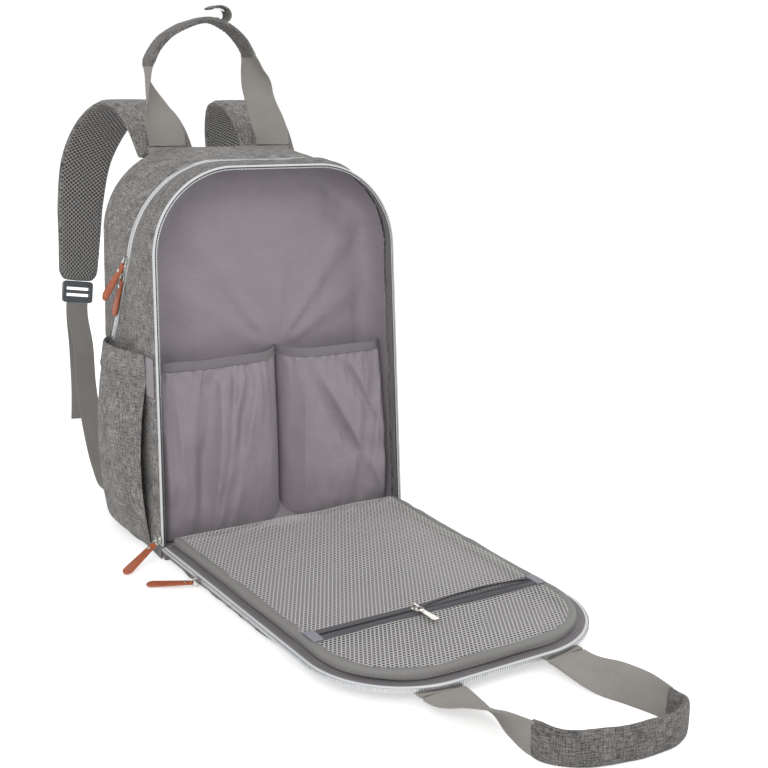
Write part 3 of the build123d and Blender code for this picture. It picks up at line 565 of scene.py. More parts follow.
def thread_finish(name, colour):
    """Twisted sewing thread."""
    f = Finish(name)
    spot = f.add("TexCoord").outputs["Object"]
    twist = f.noise(spot, 2600.0, 1.0)
    paint = f.stops(twist, [(0.3, shade(colour, 0.75)), (0.7, shade(colour, 1.15))])
    f.surface(paint, 0.7, twist, 0.0001, Sheen_Weight=0.05)



def cloth(name, grid, body, finish, slot, replaces=(), thickness=0.001, closed=False,
          keep=None, flip=False, levels=1, finish_of=None):
    """A piece of cloth on a grid of points. Its flat size is the longest lines across and along the grid, and
    its flat area the grid's own; a closed grid is cloth folded double. Neither is used further. Trim under a
    centimetre wide isn't declared as a sheet."""
    mesh = grid_mesh(name, grid, (False, closed), keep, flip, closed, finish_of)
    finishes = [finish] if isinstance(finish, str) else finish
    piece = place(mesh, body, finishes, slot, replaces, 0.0 if closed else thickness, levels=levels)
    whole = np.concatenate([grid, grid[:, :1]], 1) if closed else grid
    layers = 2 if closed else 1
    width = np.linalg.norm(np.diff(whole, axis=1), axis=2).sum(1).max() / layers
    length = np.linalg.norm(np.diff(whole, axis=0), axis=2).sum(0).max()
    patches = np.cross(whole[1:, 1:] - whole[:-1, :-1], whole[1:, :-1] - whole[:-1, 1:])
    patches = np.linalg.norm(patches, axis=2) / 2
    flat = (round(float(width), 4), round(float(length), 4))
    if min(flat) < TRIM_WIDTH:
        return piece
    return piece


# ---------- outlines of the bag and its flap
def half_width(up):
    """Half the bag's width at a distance up its sides."""
    return HALF_BASE - CLOSING * up


def arch_line(inset, low, count, top=RIM_LENGTH, radius=CORNER):
    """Arch from the left foot over the top to the right foot, at even steps: x, distance up, and
    the direction outwards. Each corner is a quarter circle."""
    high, bend = top - inset, radius - inset
    centre = bend + inset - half_width(high - bend)
    turn = np.linspace(math.pi, math.pi / 2, 60)
    corner = np.stack([centre + bend * np.cos(turn), high - bend + bend * np.sin(turn)], 1)
    left = np.concatenate([[[inset - half_width(low), low]], corner])
    line = evenly(np.concatenate([left, left[::-1] * (-1, 1)]), count)
    along = unit(np.gradient(line, axis=0))
    return np.concatenate([line, np.stack([-along[:, 1], along[:, 0]], 1)], 1)


def arch_half(up, inset, top=RIM_LENGTH, radius=CORNER):
    """Half the arch's width at a distance up."""
    high, bend = top - inset, radius - inset
    over = np.clip(up - (high - bend), 0, bend)
    side = half_width(np.minimum(up, high - bend)) - inset
    return side - bend + np.sqrt(np.maximum(bend * bend - over * over, 0))


def wall_points(line, back, lift=0.0):
    """Points of the body's wall at distances behind the rim, lifted outwards. The top rises
    towards the back, and the rows of the sides stay level below the main zip's foot."""
    x, up, out_x, out_up = (line[:, k, None] for k in range(4))
    z = RIM_COS * up + TOP_RISE * back * np.clip((up - 0.21) / 0.09, 0, 1)
    y = FRONT + back + math.tan(RIM_SLOPE) * (z - TOP_RISE * back)
    z = z + out_up * lift
    return grid_of(x + out_x * lift, y, z)


def back_at(line, y_of_height):
    """Distance behind the rim at which each row of the wall reaches a line seen from the side."""
    back = np.full((len(line), 1), 0.06)
    for _ in range(6):
        point = wall_points(line, back)
        back = back + y_of_height(point[..., 2]) - point[..., 1]
    return back


def main_zip_y(height):
    """Side view of the main zip: a straight run, then an arc that starts along it."""
    foot, bend, top = (np.array(p) for p in (ZIP_FOOT, ZIP_BEND, ZIP_TOP))
    run = unit(bend - foot)
    chord = top - bend
    radius = chord @ chord / (2 * abs(run[0] * chord[1] - run[1] * chord[0]))
    centre = bend + radius * np.array([run[1], -run[0]])
    straight = foot[0] + np.maximum(height - foot[1], 0) * run[0] / run[1]
    arc = centre[0] - np.sqrt(np.maximum(radius**2 - (height - centre[1]) ** 2, 0))
    return np.where(height < bend[1], straight, arc)


def rear_y(height):
    """Plane of the back."""
    return np.full_like(height, REAR)


def wall_rows():
    """Rows round the arch with one at the height of the main zip's foot on each side."""
    line = arch_line(0, 0, 1201)
    foot = int(np.argmin(np.abs(line[:600, 1] * RIM_COS - ZIP_FOOT[1])))
    stops = [np.linspace(0, foot, 27), np.linspace(foot, 1200 - foot, 111)[1:]]
    stops.append(np.linspace(1200 - foot, 1200, 27)[1:])
    rows = np.concatenate(stops).astype(int)
    return line[rows], (rows[:-1] >= foot) & (rows[:-1] < 1200 - foot)


def rows_above_foot():
    """Rows of the wall from one foot of the main zip over the top to the other."""
    line, above_foot = wall_rows()
    rows = np.flatnonzero(above_foot)
    return line[rows[0] : rows[-1] + 2]


def crumpled(points, outward, size, height, seed, mask):
    """Points moved out and in by soft unevenness, held still where the mask is 0."""
    return points + outward * (ripple(points, size, seed) * height * mask)[..., None]


def wall_outward(line, columns):
    """Direction out of the wall at every point of a grid."""
    outward = np.stack([line[:, 2], 0 * line[:, 2], line[:, 3]], 1)
    return np.broadcast_to(outward[:, None], (len(line), columns, 3))


# ---------- outer cloth
def make_front_wall(sizes):
    """Bowed cloth between the rim and the main zip, which also goes on to the back below it."""
    line, above_foot = wall_rows()
    edge = back_at(line, main_zip_y) - ZIP_HALF * 1.1
    rear = back_at(line, rear_y)
    t = np.linspace(0, 1, 25)[None]
    front_part = sizes.rim_tape + (edge - sizes.rim_tape) * t
    rear_part = edge + (rear - edge) * np.linspace(0, 1, 7)[None, 1:]
    back = np.concatenate([front_part, rear_part], 1)
    grid = wall_points(line, back)
    outward = wall_outward(line, grid.shape[1])
    share = np.concatenate([t, np.zeros((1, 6))], 1)
    arched = ease(line[:, 1], 0.16, 0.33)[:, None]
    grid = grid + outward * (sizes.wall_bow * np.sin(np.pi * share) * arched)[..., None]
    mask = np.sin(np.pi * np.clip(share, 0.0, 1.0)) ** 0.5 + 0.0 * back
    grid = crumpled(grid, outward, 0.07, sizes.crumple, 3, mask)
    grid = crumpled(grid, outward, 0.025, sizes.crumple * 0.4, 4, mask)
    keep = np.ones((len(line) - 1, back.shape[1] - 1), bool)
    keep[above_foot, 24:] = False
    cloth(
        "front_wall", grid, "bag", "heather_cloth", "heather_fabric", ["main_gusset"], sizes.wall,
        keep=keep, flip=True,
    )


def make_rear_wall(sizes):
    """Cloth between the main zip and the back, over the top and down to the zip's feet."""
    line = rows_above_foot()
    near = back_at(line, main_zip_y) + ZIP_HALF * 1.1
    rear = back_at(line, rear_y)
    t = np.linspace(0, 1, 17)[None]
    grid = wall_points(line, near + (rear - near) * t)
    outward = wall_outward(line, 17)
    mask = np.sin(np.pi * t) ** 0.5 + 0.0 * near
    bow = sizes.wall_bow * 0.6 * np.sin(np.pi * t) * ease(line[:, 1], 0.2, 0.33)[:, None]
    grid = grid + outward * bow[..., None]
    grid = crumpled(grid, outward, 0.06, sizes.crumple, 8, mask)
    cloth(
        "rear_wall", grid, "bag", "heather_cloth", "heather_fabric", ["rear_gusset"], sizes.wall, flip=True,
    )


def make_base(sizes):
    """Base cloth with its edges turned up a little, and the padded strip under the opening."""
    x = np.linspace(-1, 1, 49)[None]
    y = np.linspace(FRONT + 0.0005, REAR - 0.003, 29)[:, None]
    half = HALF_BASE - 0.003
    edge = np.minimum(half * (1 - np.abs(x)), np.minimum(y - FRONT, REAR - y))
    lift = sizes.wall * (1 - ease(edge, 0, 0.006))
    grid = grid_of(half * x, y, 0.0002 + 0.4 * lift)
    cloth(
        "base_cloth", grid, "bag", "heather_cloth", "heather_fabric", ["base_panel"], sizes.wall * 0.7,
        flip=True,
    )
    path = evenly([(way * (HALF_BASE - 0.001), FRONT + 0.0021, 0.0077) for way in (-1, 1)], 60)
    outline = rounded(0.0148, 0.0036, 20, 3.0)
    grid = swept(path, facing([0.0, 0.061, 0.998], 60), outline)
    cloth(
        "front_edge_strip", grid, "bag", "heather_cloth", "heather_fabric", ["front_sill"], closed=True,
    )


def make_back(sizes):
    """Flat back cloth with a turned edge."""
    up = np.linspace(0.002, 0.4035, 60)
    half = arch_half(up / RIM_COS - 0.0115 * ease(up, 0.2, 0.3), 0.003)
    x = np.linspace(-1, 1, 41)[None]
    z = up[:, None]
    edge = np.minimum(half[:, None] * (1 - np.abs(x)), 0.404 - z)
    y = REAR - 0.0012 * (1 - ease(edge, 0, 0.008)) + 0 * z
    grid = grid_of(half[:, None] * x, y, z)
    grid[..., 1] += ripple(grid, 0.09, 12) * 0.0004
    cloth(
        "back_cloth", grid, "bag", "heather_cloth", "heather_fabric", ["back_panel"], sizes.wall, flip=True,
    )


def make_main_zip():
    """Main zip: silver tape up both sides and over the top, with its coil down the middle."""
    line = rows_above_foot()
    middle = back_at(line, main_zip_y)
    offset = np.array([-1.2, -0.95, -0.55, -0.36, 0.36, 0.55, 0.95, 1.2])[None] * ZIP_HALF
    depth = np.array([-0.0012, 0.0002, 0.0007, 0.0002, 0.0002, 0.0007, 0.0002, -0.0012])
    grid = wall_points(line, middle + offset) + wall_outward(line, 8) * depth[None, :, None]
    centre = wall_points(line, middle)[:, 0]
    fine = evenly(np.concatenate([centre, line[:, 2:]], 1), int(travelled(centre)[-1] / 0.0014))
    out = np.stack([fine[:, 3], 0 * fine[:, 3], fine[:, 4]], 1)
    across = np.cross(np.gradient(fine[:, :3], axis=0), out)
    points, faces = brick(0.0027, 0.0008, 0.0011)
    coil = repeated_mesh("main_zip_coil", fine[:, :3] - out * 0.0003, across, out, points, faces)
    place(coil, "bag", ["silver_coil"], "silver_zip")
    cloth(
        "main_zip_tape", grid, "bag", "silver_tape", "silver_zip", ["main_zip"], 0.0008, flip=True,
    )


def make_rim():
    """Body half of the big opening's zip: silver tape with a rolled edge and its row of teeth,
    then the ribbed binding tape inside the wall."""
    line = arch_line(0.0012, HINGE_Z / RIM_COS, 260)
    back = np.array([0.0046, 0.0038, 0.0026, 0.0014, 0.0006, 0.0006, 0.0014, 0.0026])[None]
    lift = np.array([0.0006, 0.001, 0.0012, 0.001, 0.0003, -0.0006, -0.0009, -0.0009])[None]
    grid = wall_points(line, back + np.zeros((len(line), 1)), lift)
    cloth("opening_zip_tape", grid, "bag", "silver_tape", "silver_zip", ["opening_zip"], 0.0007)
    fine = arch_line(0.003, HINGE_Z / RIM_COS, int(0.98 / 0.0016))
    centre = wall_points(fine, np.full((len(fine), 1), 0.0024))[:, 0]
    out = wall_outward(fine, 1)[:, 0]
    points, faces = brick(0.0024, 0.0009, 0.0012)
    teeth = repeated_mesh(
        "opening_zip_teeth", centre, facing([0.0, 1.0, 0.06], len(fine)), -out, points, faces,
    )
    place(teeth, "bag", ["silver_coil"], "silver_zip")
    inner = arch_line(0.0036, HINGE_Z / RIM_COS, 220)
    back = np.linspace(0.0044, 0.0125, 7)[None] + np.zeros((len(inner), 1))
    wave = 0.0004 * np.sin(travelled(inner[:, :2]) / 0.021)[:, None]
    lift = wave * np.sin(np.linspace(0, np.pi, 7))[None] - 0.0004
    cloth(
        "rim_tape", wall_points(inner, back, lift), "bag", "binding_cloth", "binding_tape", ["rim_binding"],
        0.0008,
    )


# ---------- lining and its pockets
def arch_distance(x, up, inset):
    """Distance from points inside the arch to its outline."""
    outline = arch_line(inset, -0.02, 700)[:, :2]
    gap = np.stack([x, up], -1)[..., None, :] - outline
    return np.sqrt((gap**2).sum(-1)).min(-1)


def rim_frame(x, up, back):
    """Points of the body from x, distance up the rim and distance behind it."""
    return grid_of(x, FRONT + RIM_SIN * up + back, RIM_COS * up + TOP_RISE * back)


def make_lining(sizes):
    """Lining of the front compartment: one soft bowl from the rim binding to the divider, with
    slack folds that fan out above the pockets."""
    up = np.concatenate(
        [np.linspace(0.003, 0.3, 60), 0.3 + 0.0895 * np.sin(np.linspace(0, np.pi / 2, 40))[1:]],
    )
    half = arch_half(up, 0.0036)
    share = np.sin(np.linspace(-np.pi / 2, np.pi / 2, 91) * 0.999)[None]
    x = half[:, None] * share
    level = up[:, None] + 0 * x
    wall_gap, floor_gap = arch_distance(x, level, 0.0036), level - 0.0028
    near = np.minimum(wall_gap, floor_gap)
    t = np.clip(near / sizes.lining_round, 0, 1)
    start = 0.0115 - 0.0085 * wall_gap / (wall_gap + floor_gap)
    back = start + (sizes.lining_depth - start) * quarter_oval(t)
    angle = np.arctan2(x - 0.012, level - 0.185)
    reach = np.hypot(x - 0.012, level - 0.185)
    fan = hump(angle, 0.62, 0.1) + 0.8 * hump(angle, 0.98, 0.13) + 0.7 * hump(angle, -0.55, 0.12)
    fan += 0.5 * hump(angle, -0.95, 0.12) + 0.4 * hump(angle, 0.15, 0.1)
    slack = fan * ease(reach, 0.0, 0.05) * (1 - ease(reach, 0.13, 0.26)) * sizes.lining_slack
    flat = np.stack([x, level], -1)
    soft = ripple(flat, 0.09, 5) * 0.0011 + ripple(flat, 0.03, 6) * 0.0004
    back = back - (slack - soft) * ease(near, 0.001, 0.02)
    cloth(
        "lining", rim_frame(x, level, back), "bag", "lining_cloth", "lining_fabric", ["divider_panel"],
        0.001,
    )


def pocket_front(left, right, seed, folds, sizes):
    """Front of one gathered pocket, as a grid from its floor to its elastic: full across its
    middle, sewn in at its sides, puckered under the elastic, and creased where it is full."""
    up = np.concatenate([[0.0045, 0.005, 0.0064], np.linspace(0.009, POCKET_TOP, 66)])[:, None]
    s = 0.5 - 0.5 * np.cos(np.linspace(0, np.pi, 121))[None]
    low = np.maximum(left, -(arch_half(up, 0.0048))) if left < -0.1 else left + 0 * up
    high = np.minimum(right, arch_half(up, 0.0048)) if right > 0.1 else right + 0 * up
    x = low + (high - low) * s
    from_seam = s if left > 0 else 1 - s
    full = (1 - (1 - np.clip(from_seam / 0.42, 0, 1)) ** 2.6) ** (1 / 1.6)
    full = full * quarter_oval(np.clip((1 - from_seam) / 0.1, 0, 1))
    rise = up / 0.196
    foot = np.sqrt(ease(up, 0.002, 0.01))
    depth = 0.0245 + sizes.pocket_fullness * np.sin(np.pi * rise**0.8) ** 0.8
    flat = np.stack([x, up * 0.35 + 0 * x], -1)
    below = POCKET_TOP - up
    gather = np.sin(x / 0.0021 + 3.0 * ripple(flat, 0.05, seed)) * 0.7
    gather = gather + np.sin(x / 0.0011 + 2.0 * ripple(flat, 0.03, seed + 1)) * 0.2
    fade = np.exp(-below / 0.01) + 0.3 * np.exp(-below / 0.04)
    pucker = gather * sizes.pucker * fade * ease(below, 0.0, 0.0035)
    crease = 0 * x
    for x0, u0, x1, u1, width, height in folds:
        length = math.hypot(x1 - x0, u1 - u0)
        run = np.clip(((x - x0) * (x1 - x0) + (up - u0) * (u1 - u0)) / length**2, 0, 1)
        side = ((x - x0) * (u1 - u0) - (up - u0) * (x1 - x0)) / length
        along = np.sin(np.pi * np.clip(run, 0.03, 0.97)) ** 0.5
        ridge = np.where(side > 0, np.exp(-side / (width * 0.16)), np.exp(side / width))
        crease = crease + height * along * (ridge - 0.75 * hump(side, width * 0.55, width * 0.42))
    soft = ripple(flat, 0.06, seed + 2) * 0.0022 + ripple(flat, 0.022, seed + 3) * 0.0006
    folds_and_waves = crease * ease(below, 0.0, 0.02) + soft
    forward = (depth + folds_and_waves) * full * foot + pucker * np.sqrt(full)
    return rim_frame(x, up, sizes.lining_depth - forward)


LEFT_FOLDS = [
    (-0.064, 0.192, -0.084, -0.004, 0.022, 0.01),
    (-0.02, 0.186, -0.045, 0.085, 0.014, 0.0052),
    (-0.04, 0.186, -0.052, 0.13, 0.009, 0.0042),
    (-0.115, 0.18, -0.112, 0.02, 0.016, 0.0034),
]
RIGHT_FOLDS = [
    (0.052, 0.165, 0.104, 0.07, 0.017, 0.0056),
    (0.13, 0.165, 0.1, 0.004, 0.017, 0.0056),
    (0.084, 0.188, 0.118, 0.12, 0.012, 0.0046),
    (0.036, 0.18, 0.03, 0.03, 0.018, 0.004),
]


def make_pockets(sizes):
    """The two gathered pockets and the elastic that runs along both."""
    for side, left, right, seed, folds in (
        ("left", -0.2, 0.0117, 21, LEFT_FOLDS), ("right", 0.0123, 0.2, 31, RIGHT_FOLDS),
    ):
        grid = pocket_front(left, right, seed, folds, sizes)
        cloth(
            f"lining_pocket_{side}", grid, "bag", "lining_cloth", "lining_fabric", ["lining_pockets"],
            0.0009,
        )
        edge = grid[-1].copy()
        forward = np.array([0.0, -1.0, 0.05])
        rise = np.array([-0.0012, -0.0008, 0.001, 0.004, 0.0072, 0.0088, 0.009, 0.0088])[:, None, None]
        lift = np.array([0.0004, 0.0013, 0.0016, 0.0015, 0.0014, 0.0011, 0.0004, -0.0006])[:, None, None]
        smooth = edge.copy()
        for _ in range(40):
            smooth[1:-1] = (smooth[:-2] + 2 * smooth[1:-1] + smooth[2:]) / 4
        wave = np.sin(smooth[:, 0] / 0.0019)[None, :, None] * 0.00012
        band = smooth[None] + rise * np.array([0.0, RIM_SIN, RIM_COS]) + (lift + wave) * forward
        cloth(f"pocket_elastic_{side}", band, "bag", "elastic_band", "elastic", ["pocket_elastic"], 0.001)
        path = smooth + np.array([0.0, -0.0019, 0.0004])
        outward = facing(forward, len(path))
        stitched(f"elastic_stitches_{side}", path, outward, "bag", "pale_thread", "elastic", 0.0026, 0.0016)


# ---------- side pockets
def side_pocket_grid(way, z, s, sizes, grow=0.0):
    """Side pocket as rows up and columns from the back seam round to the free front edge: it
    leaves the wall at the back, is full in the middle and comes in again at the front."""
    up = z / RIM_COS
    wall = half_width(up)
    heights = np.array([0.006, 0.02, 0.045, 0.075, 0.105, 0.135, 0.165, 0.19, 0.206])
    fulls = np.array([0.0085, 0.0155, 0.0215, 0.0255, 0.0272, 0.0258, 0.0215, 0.0165, 0.0135])
    full = np.interp(z, heights, fulls) * np.sqrt(ease(z, 0.0035, 0.014))
    front = FRONT + math.tan(RIM_SLOPE) * z + sizes.setback
    y = 0.0675 + (front - 0.0675) * s
    rise = 1 - (1 - np.clip(s / 0.34, 0, 1)) ** 2.4
    fall = np.cos(np.pi / 2 * np.clip((s - 0.42) / 0.58, 0, 1)) ** 1.15
    slit = sizes.slit * np.sin(np.pi * np.clip((z - 0.004) / 0.178, 0, 1)) ** 0.8
    stand = 0.001 + slit * ease(s, 0.35, 1.0)
    out = stand + (full - 0.3 * slit) * rise * fall
    point = grid_of(way * (wall + out + grow), y, z)
    loose = np.sin(np.pi * s) * np.sqrt(np.clip(np.sin(np.pi * z / 0.206), 0, 1))
    point[..., 0] += way * (ripple(point, 0.085, 41) * 0.0014 + ripple(point, 0.03, 42) * 0.0005) * loose
    return point


def make_side_pockets(sizes):
    """Both side pockets with their folded bands, and the lining strip that ties each band."""
    z = np.concatenate([[0.0058, 0.0066, 0.008], np.linspace(0.0105, 0.2055, 50)])[:, None]
    s = np.linspace(0, 1, 53)[None]
    band_z = np.array([0.1815, 0.1822, 0.185, 0.19, 0.195, 0.2, 0.2045, 0.2062, 0.2068])[:, None]
    for side, way in (("left", -1), ("right", 1)):
        turned = way > 0
        grid = side_pocket_grid(way, z, s, sizes)
        cloth(
            f"side_pocket_{side}_cloth", grid, "bag", "heather_cloth", "heather_fabric",
            [f"side_pocket_{side}"], 0.0014, flip=turned,
        )
        grow = np.array([0.0003, 0.0012, 0.0015, 0.0014, 0.0014, 0.0014, 0.0014, 0.001, 0.0])[:, None]
        band = side_pocket_grid(way, band_z, s, sizes, grow)
        cloth(
            f"side_band_{side}", band, "bag", "heather_cloth", "heather_fabric",
            ["side_pocket_bands"], 0.0011, flip=turned,
        )
        outward = facing([float(way), 0.0, 0.0], 53)
        for tag, height in (("low", 0.1838), ("high", 0.2042)):
            row = side_pocket_grid(way, np.full((1, 1), height), s, sizes, 0.0016)[0]
            stitched(f"side_band_stitches_{tag}_{side}", row, outward, "bag")
        edge = side_pocket_grid(way, z[4:-6], np.array([[0.965]]), sizes, 0.0002)[:, 0]
        stitched(f"side_edge_stitches_{side}", edge, outward[: len(edge)], "bag")
        tie_z = np.linspace(0.166, 0.2062, 12)[:, None]
        t = np.linspace(0, 1, 9)[None]
        y = FRONT + math.tan(RIM_SLOPE) * tie_z + sizes.setback + 0.002 + (0.0055 - sizes.setback) * t
        x = way * (half_width(tie_z / RIM_COS) + 0.0011 + 0.0007 * np.sin(np.pi * t) + 0 * y)
        tie = grid_of(x, y, tie_z)
        cloth(f"band_tie_{side}", tie, "bag", "lining_cloth", "lining_fabric", (), 0.0008, flip=turned)


# ---------- flap
def flap_line(inset, start, count, top=RIM_LENGTH, radius=CORNER):
    """Outline of the open flap: x, y, and the direction outwards in the same two."""
    line = arch_line(inset, HINGE_REACH + start, count, top, radius)
    return np.stack([line[:, 0], HINGE_Y + HINGE_REACH - line[:, 1], line[:, 2], -line[:, 3]], 1)


def border_points(line, out, z):
    """Points beside the flap's outline, at distances outwards from it and at heights."""
    x = line[:, 0, None] + line[:, 2, None] * out
    y = line[:, 1, None] + line[:, 3, None] * out
    return grid_of(x, y, z)


def flap_swell(x, y, sizes):
    """How far the mesh stands up between its borders: a low cushion with soft unevenness."""
    reach = HINGE_Y - y
    half = np.maximum(arch_half(HINGE_REACH + reach, 0.02), 1e-4)
    across = np.clip(1 - (x / half) ** 2, 0, 1)
    along = np.sin(np.pi * np.clip(reach / 0.262, 0, 1)) * (reach < 0.262)
    uneven = ripple(np.stack([x, y], -1), 0.1, 51) * across
    return across * along * sizes.swell + uneven * sizes.unevenness


def panel_loop(reach, inset, low, high, top=RIM_LENGTH, radius=CORNER, columns=61):
    """Closed slab as loops across the flap: over its upper face and back along its lower face.
    Both faces close in to the edge along a quarter of an oval."""
    share = np.sin(np.linspace(-np.pi / 2, np.pi / 2, columns))
    half = arch_half(HINGE_REACH + reach, inset, top, radius)
    end = top - inset - HINGE_REACH
    x = half[:, None] * share[None]
    gap = np.minimum(half[:, None] - np.abs(x), np.minimum(end - reach, reach + 0.003)[:, None])
    t = np.clip(gap / (2 * (high - low)), 0, 1)
    depth = (high - low) / 2 * quarter_oval(t)
    middle = (low + high) / 2
    y = HINGE_Y - reach[:, None] + 0 * x
    upper = np.stack([x, y, middle + depth], 2)
    lower = np.stack([x, y, middle - depth], 2)[:, ::-1]
    loop = np.concatenate([upper, lower[:, 1:-1]], 1)
    finish = np.zeros((len(reach) - 1, loop.shape[1]), int)
    finish[:, columns - 1 :] = 1
    return loop, finish


def slab_rows(length, count=70):
    """Distances out from the hinge, closer together near the rounded end."""
    near_hinge = np.linspace(0.001, 0.6, count)[:-1]
    towards_tip = 0.6 + 0.4 * np.sin(np.linspace(0, np.pi / 2, count))
    return np.concatenate([near_hinge, towards_tip]) * length


def make_flap_panel():
    """Padded flap panel, lining above, darkened with painted shade from the net over it, and outer cloth
    below, and its half of the big zip.
    """
    reach = slab_rows(FLAP_LENGTH - 0.0062)
    loop, finish = panel_loop(reach, 0.006, FLAP_UNDER, FLAP_TOP)
    loop[..., 2] += ripple(loop, 0.08, 52) * 0.0003
    mesh = grid_mesh("flap_cloth", loop, (False, True), flip=True, caps=True, finish_of=finish)
    panel = place(
        mesh, "flap", ["lining_cloth_deep", "heather_cloth"], "lining_fabric", ["flap_panel"], levels=1,
    )
    line = flap_line(0, 0.001, 260)
    place_teeth(line, 0.98)
    out = np.array([-8.5, -6.0, -4.0, -3.0, -2.2, -1.2, -0.4, -0.1, -0.6, -2.2, -5.0])[None] / 1000
    z = np.array([14.9, 15.1, 15.2, 15.6, 16.0, 15.7, 14.5, 12.9, 11.6, 11.0, 10.8])[None] / 1000
    finish = np.zeros((259, 10), int)
    finish[:, :3] = 1
    cloth(
        "flap_zip_tape", border_points(line, out, z), "flap", ["silver_tape", "binding_cloth"], "silver_zip",
        ["flap_zip"], 0.0007, finish_of=finish,
    )


def place_teeth(line, length):
    """Row of teeth along the flap's edge."""
    fine = evenly(np.concatenate([line[:, :2], 0 * line[:, :1], line[:, 2:]], 1), int(length / 0.0019))
    outward = np.stack([fine[:, 3], fine[:, 4], 0 * fine[:, 3]], 1)
    centre = fine[:, :3] - outward * 0.0004 + np.array([0, 0, 0.0133])
    points, faces = brick(0.0034, 0.001, 0.001)
    teeth = repeated_mesh(
        "flap_zip_teeth", centre, facing([0.0, 0.0, 1.0], len(fine)), outward, points, faces,
    )
    return place(teeth, "flap", ["silver_coil"], "silver_zip")


def make_front_pocket(sizes):
    """Pocket under the flap: its side wall, its silver zip and its outer panel on the floor."""
    top = HINGE_REACH + POCKET_REACH
    shape = {"top": top, "radius": 0.08}
    line = flap_line(0.009, 0.001, 220, **shape)
    t = np.linspace(0, 1, 11)
    full = sizes.pocket_bulge * np.sin(np.pi * t) ** 0.7
    near = 1 - ease(HINGE_Y - line[:, 1], 0.12, 0.3)
    grid = border_points(
        line, full[None] * (0.45 + 0.55 * near[:, None]), (0.0031 + (FLAP_UNDER - 0.0031) * t)[None],
    )
    outward = np.stack([line[:, 2], line[:, 3], 0 * line[:, 2]], 1)[:, None]
    grid = grid + outward * (ripple(grid, 0.045, 61) * 0.0012 * np.sin(np.pi * t))[..., None]
    cloth(
        "front_pocket_wall", grid, "flap", "heather_cloth", "heather_fabric",
        ["front_pocket_gusset"], sizes.wall, flip=True,
    )
    edge = flap_line(0.008, 0.001, 220, **shape)
    out = np.array([-0.0012, 0.0006, 0.001, 0.001, 0.0006, -0.0008])[None]
    z = np.array([0.0018, 0.002, 0.0028, 0.0036, 0.0044, 0.0048])[None]
    cloth(
        "front_pocket_zip_tape", border_points(edge, out, z), "flap", "silver_tape", "silver_zip",
        ["front_pocket_zip"], 0.0007, flip=True,
    )
    reach = slab_rows(POCKET_REACH - 0.0102, 50)
    loop, _ = panel_loop(reach + 0.001, 0.0102, 0.0002, 0.003, top, 0.08)
    mesh = grid_mesh("front_pocket_cloth", loop, (False, True), flip=True, caps=True)
    panel = place(
        mesh, "front_pocket", ["heather_cloth"], "heather_fabric", ["front_pocket_panel"], levels=1,
    )


def net_mesh(name, near, far, sizes):
    """Knitted net: six-sided cells, each a ring of six quads round its hole. The inner corners
    sit a little lower, so that the threads look round."""
    pitch = sizes.net_pitch
    side = pitch / math.sqrt(3)
    rows = int((far - near) / (1.5 * side)) + 3
    columns = int(0.29 / pitch) + 2
    row, column = np.meshgrid(np.arange(rows), np.arange(columns), indexing="ij")
    x = (column - columns / 2 + 0.5 * (row % 2)) * pitch
    reach = near + row * 1.5 * side
    limit = arch_half(HINGE_REACH + reach, 0.0165)
    end = RIM_LENGTH - 0.0165 - HINGE_REACH
    inside = (np.abs(x) < limit) & (reach <= far) & (reach < end)
    centres = np.stack([x[inside], HINGE_Y - reach[inside]], 1)
    angle = np.arange(6) * TURN / 6 + TURN / 12
    ring = np.stack([np.cos(angle), np.sin(angle)], 1) * side
    outer = centres[:, None] + ring
    inner = centres[:, None] + ring * sizes.hole_share
    steps = np.round(outer / (side * 0.25)).astype(int).reshape(-1, 2)
    _, first, shared = np.unique(steps, axis=0, return_index=True, return_inverse=True)
    outer = outer.reshape(-1, 2)[first]
    shared = shared.reshape(-1, 6)
    below = len(outer) + np.arange(len(centres) * 6).reshape(-1, 6)
    flat = np.concatenate([outer, inner.reshape(-1, 2)])
    height = 0.0236 + flap_swell(flat[:, 0], flat[:, 1], sizes)
    height[len(outer) :] -= 0.00032
    nexts = np.roll(np.arange(6), -1)
    faces = np.stack([shared, shared[:, nexts], below[:, nexts], below], 2).reshape(-1, 4)
    mesh = bpy.data.meshes.new(name)
    mesh.from_pydata(np.column_stack([flat, height]), [], faces.tolist())
    uv = mesh.uv_layers.new(name="UVMap")
    uv.data.foreach_set("uv", flat[faces.ravel()].ravel().astype(np.float32))
    mesh.shade_smooth()
    cell_area = (1 - sizes.hole_share**2) * 1.5 * math.sqrt(3) * side**2
    return mesh, len(centres) * cell_area


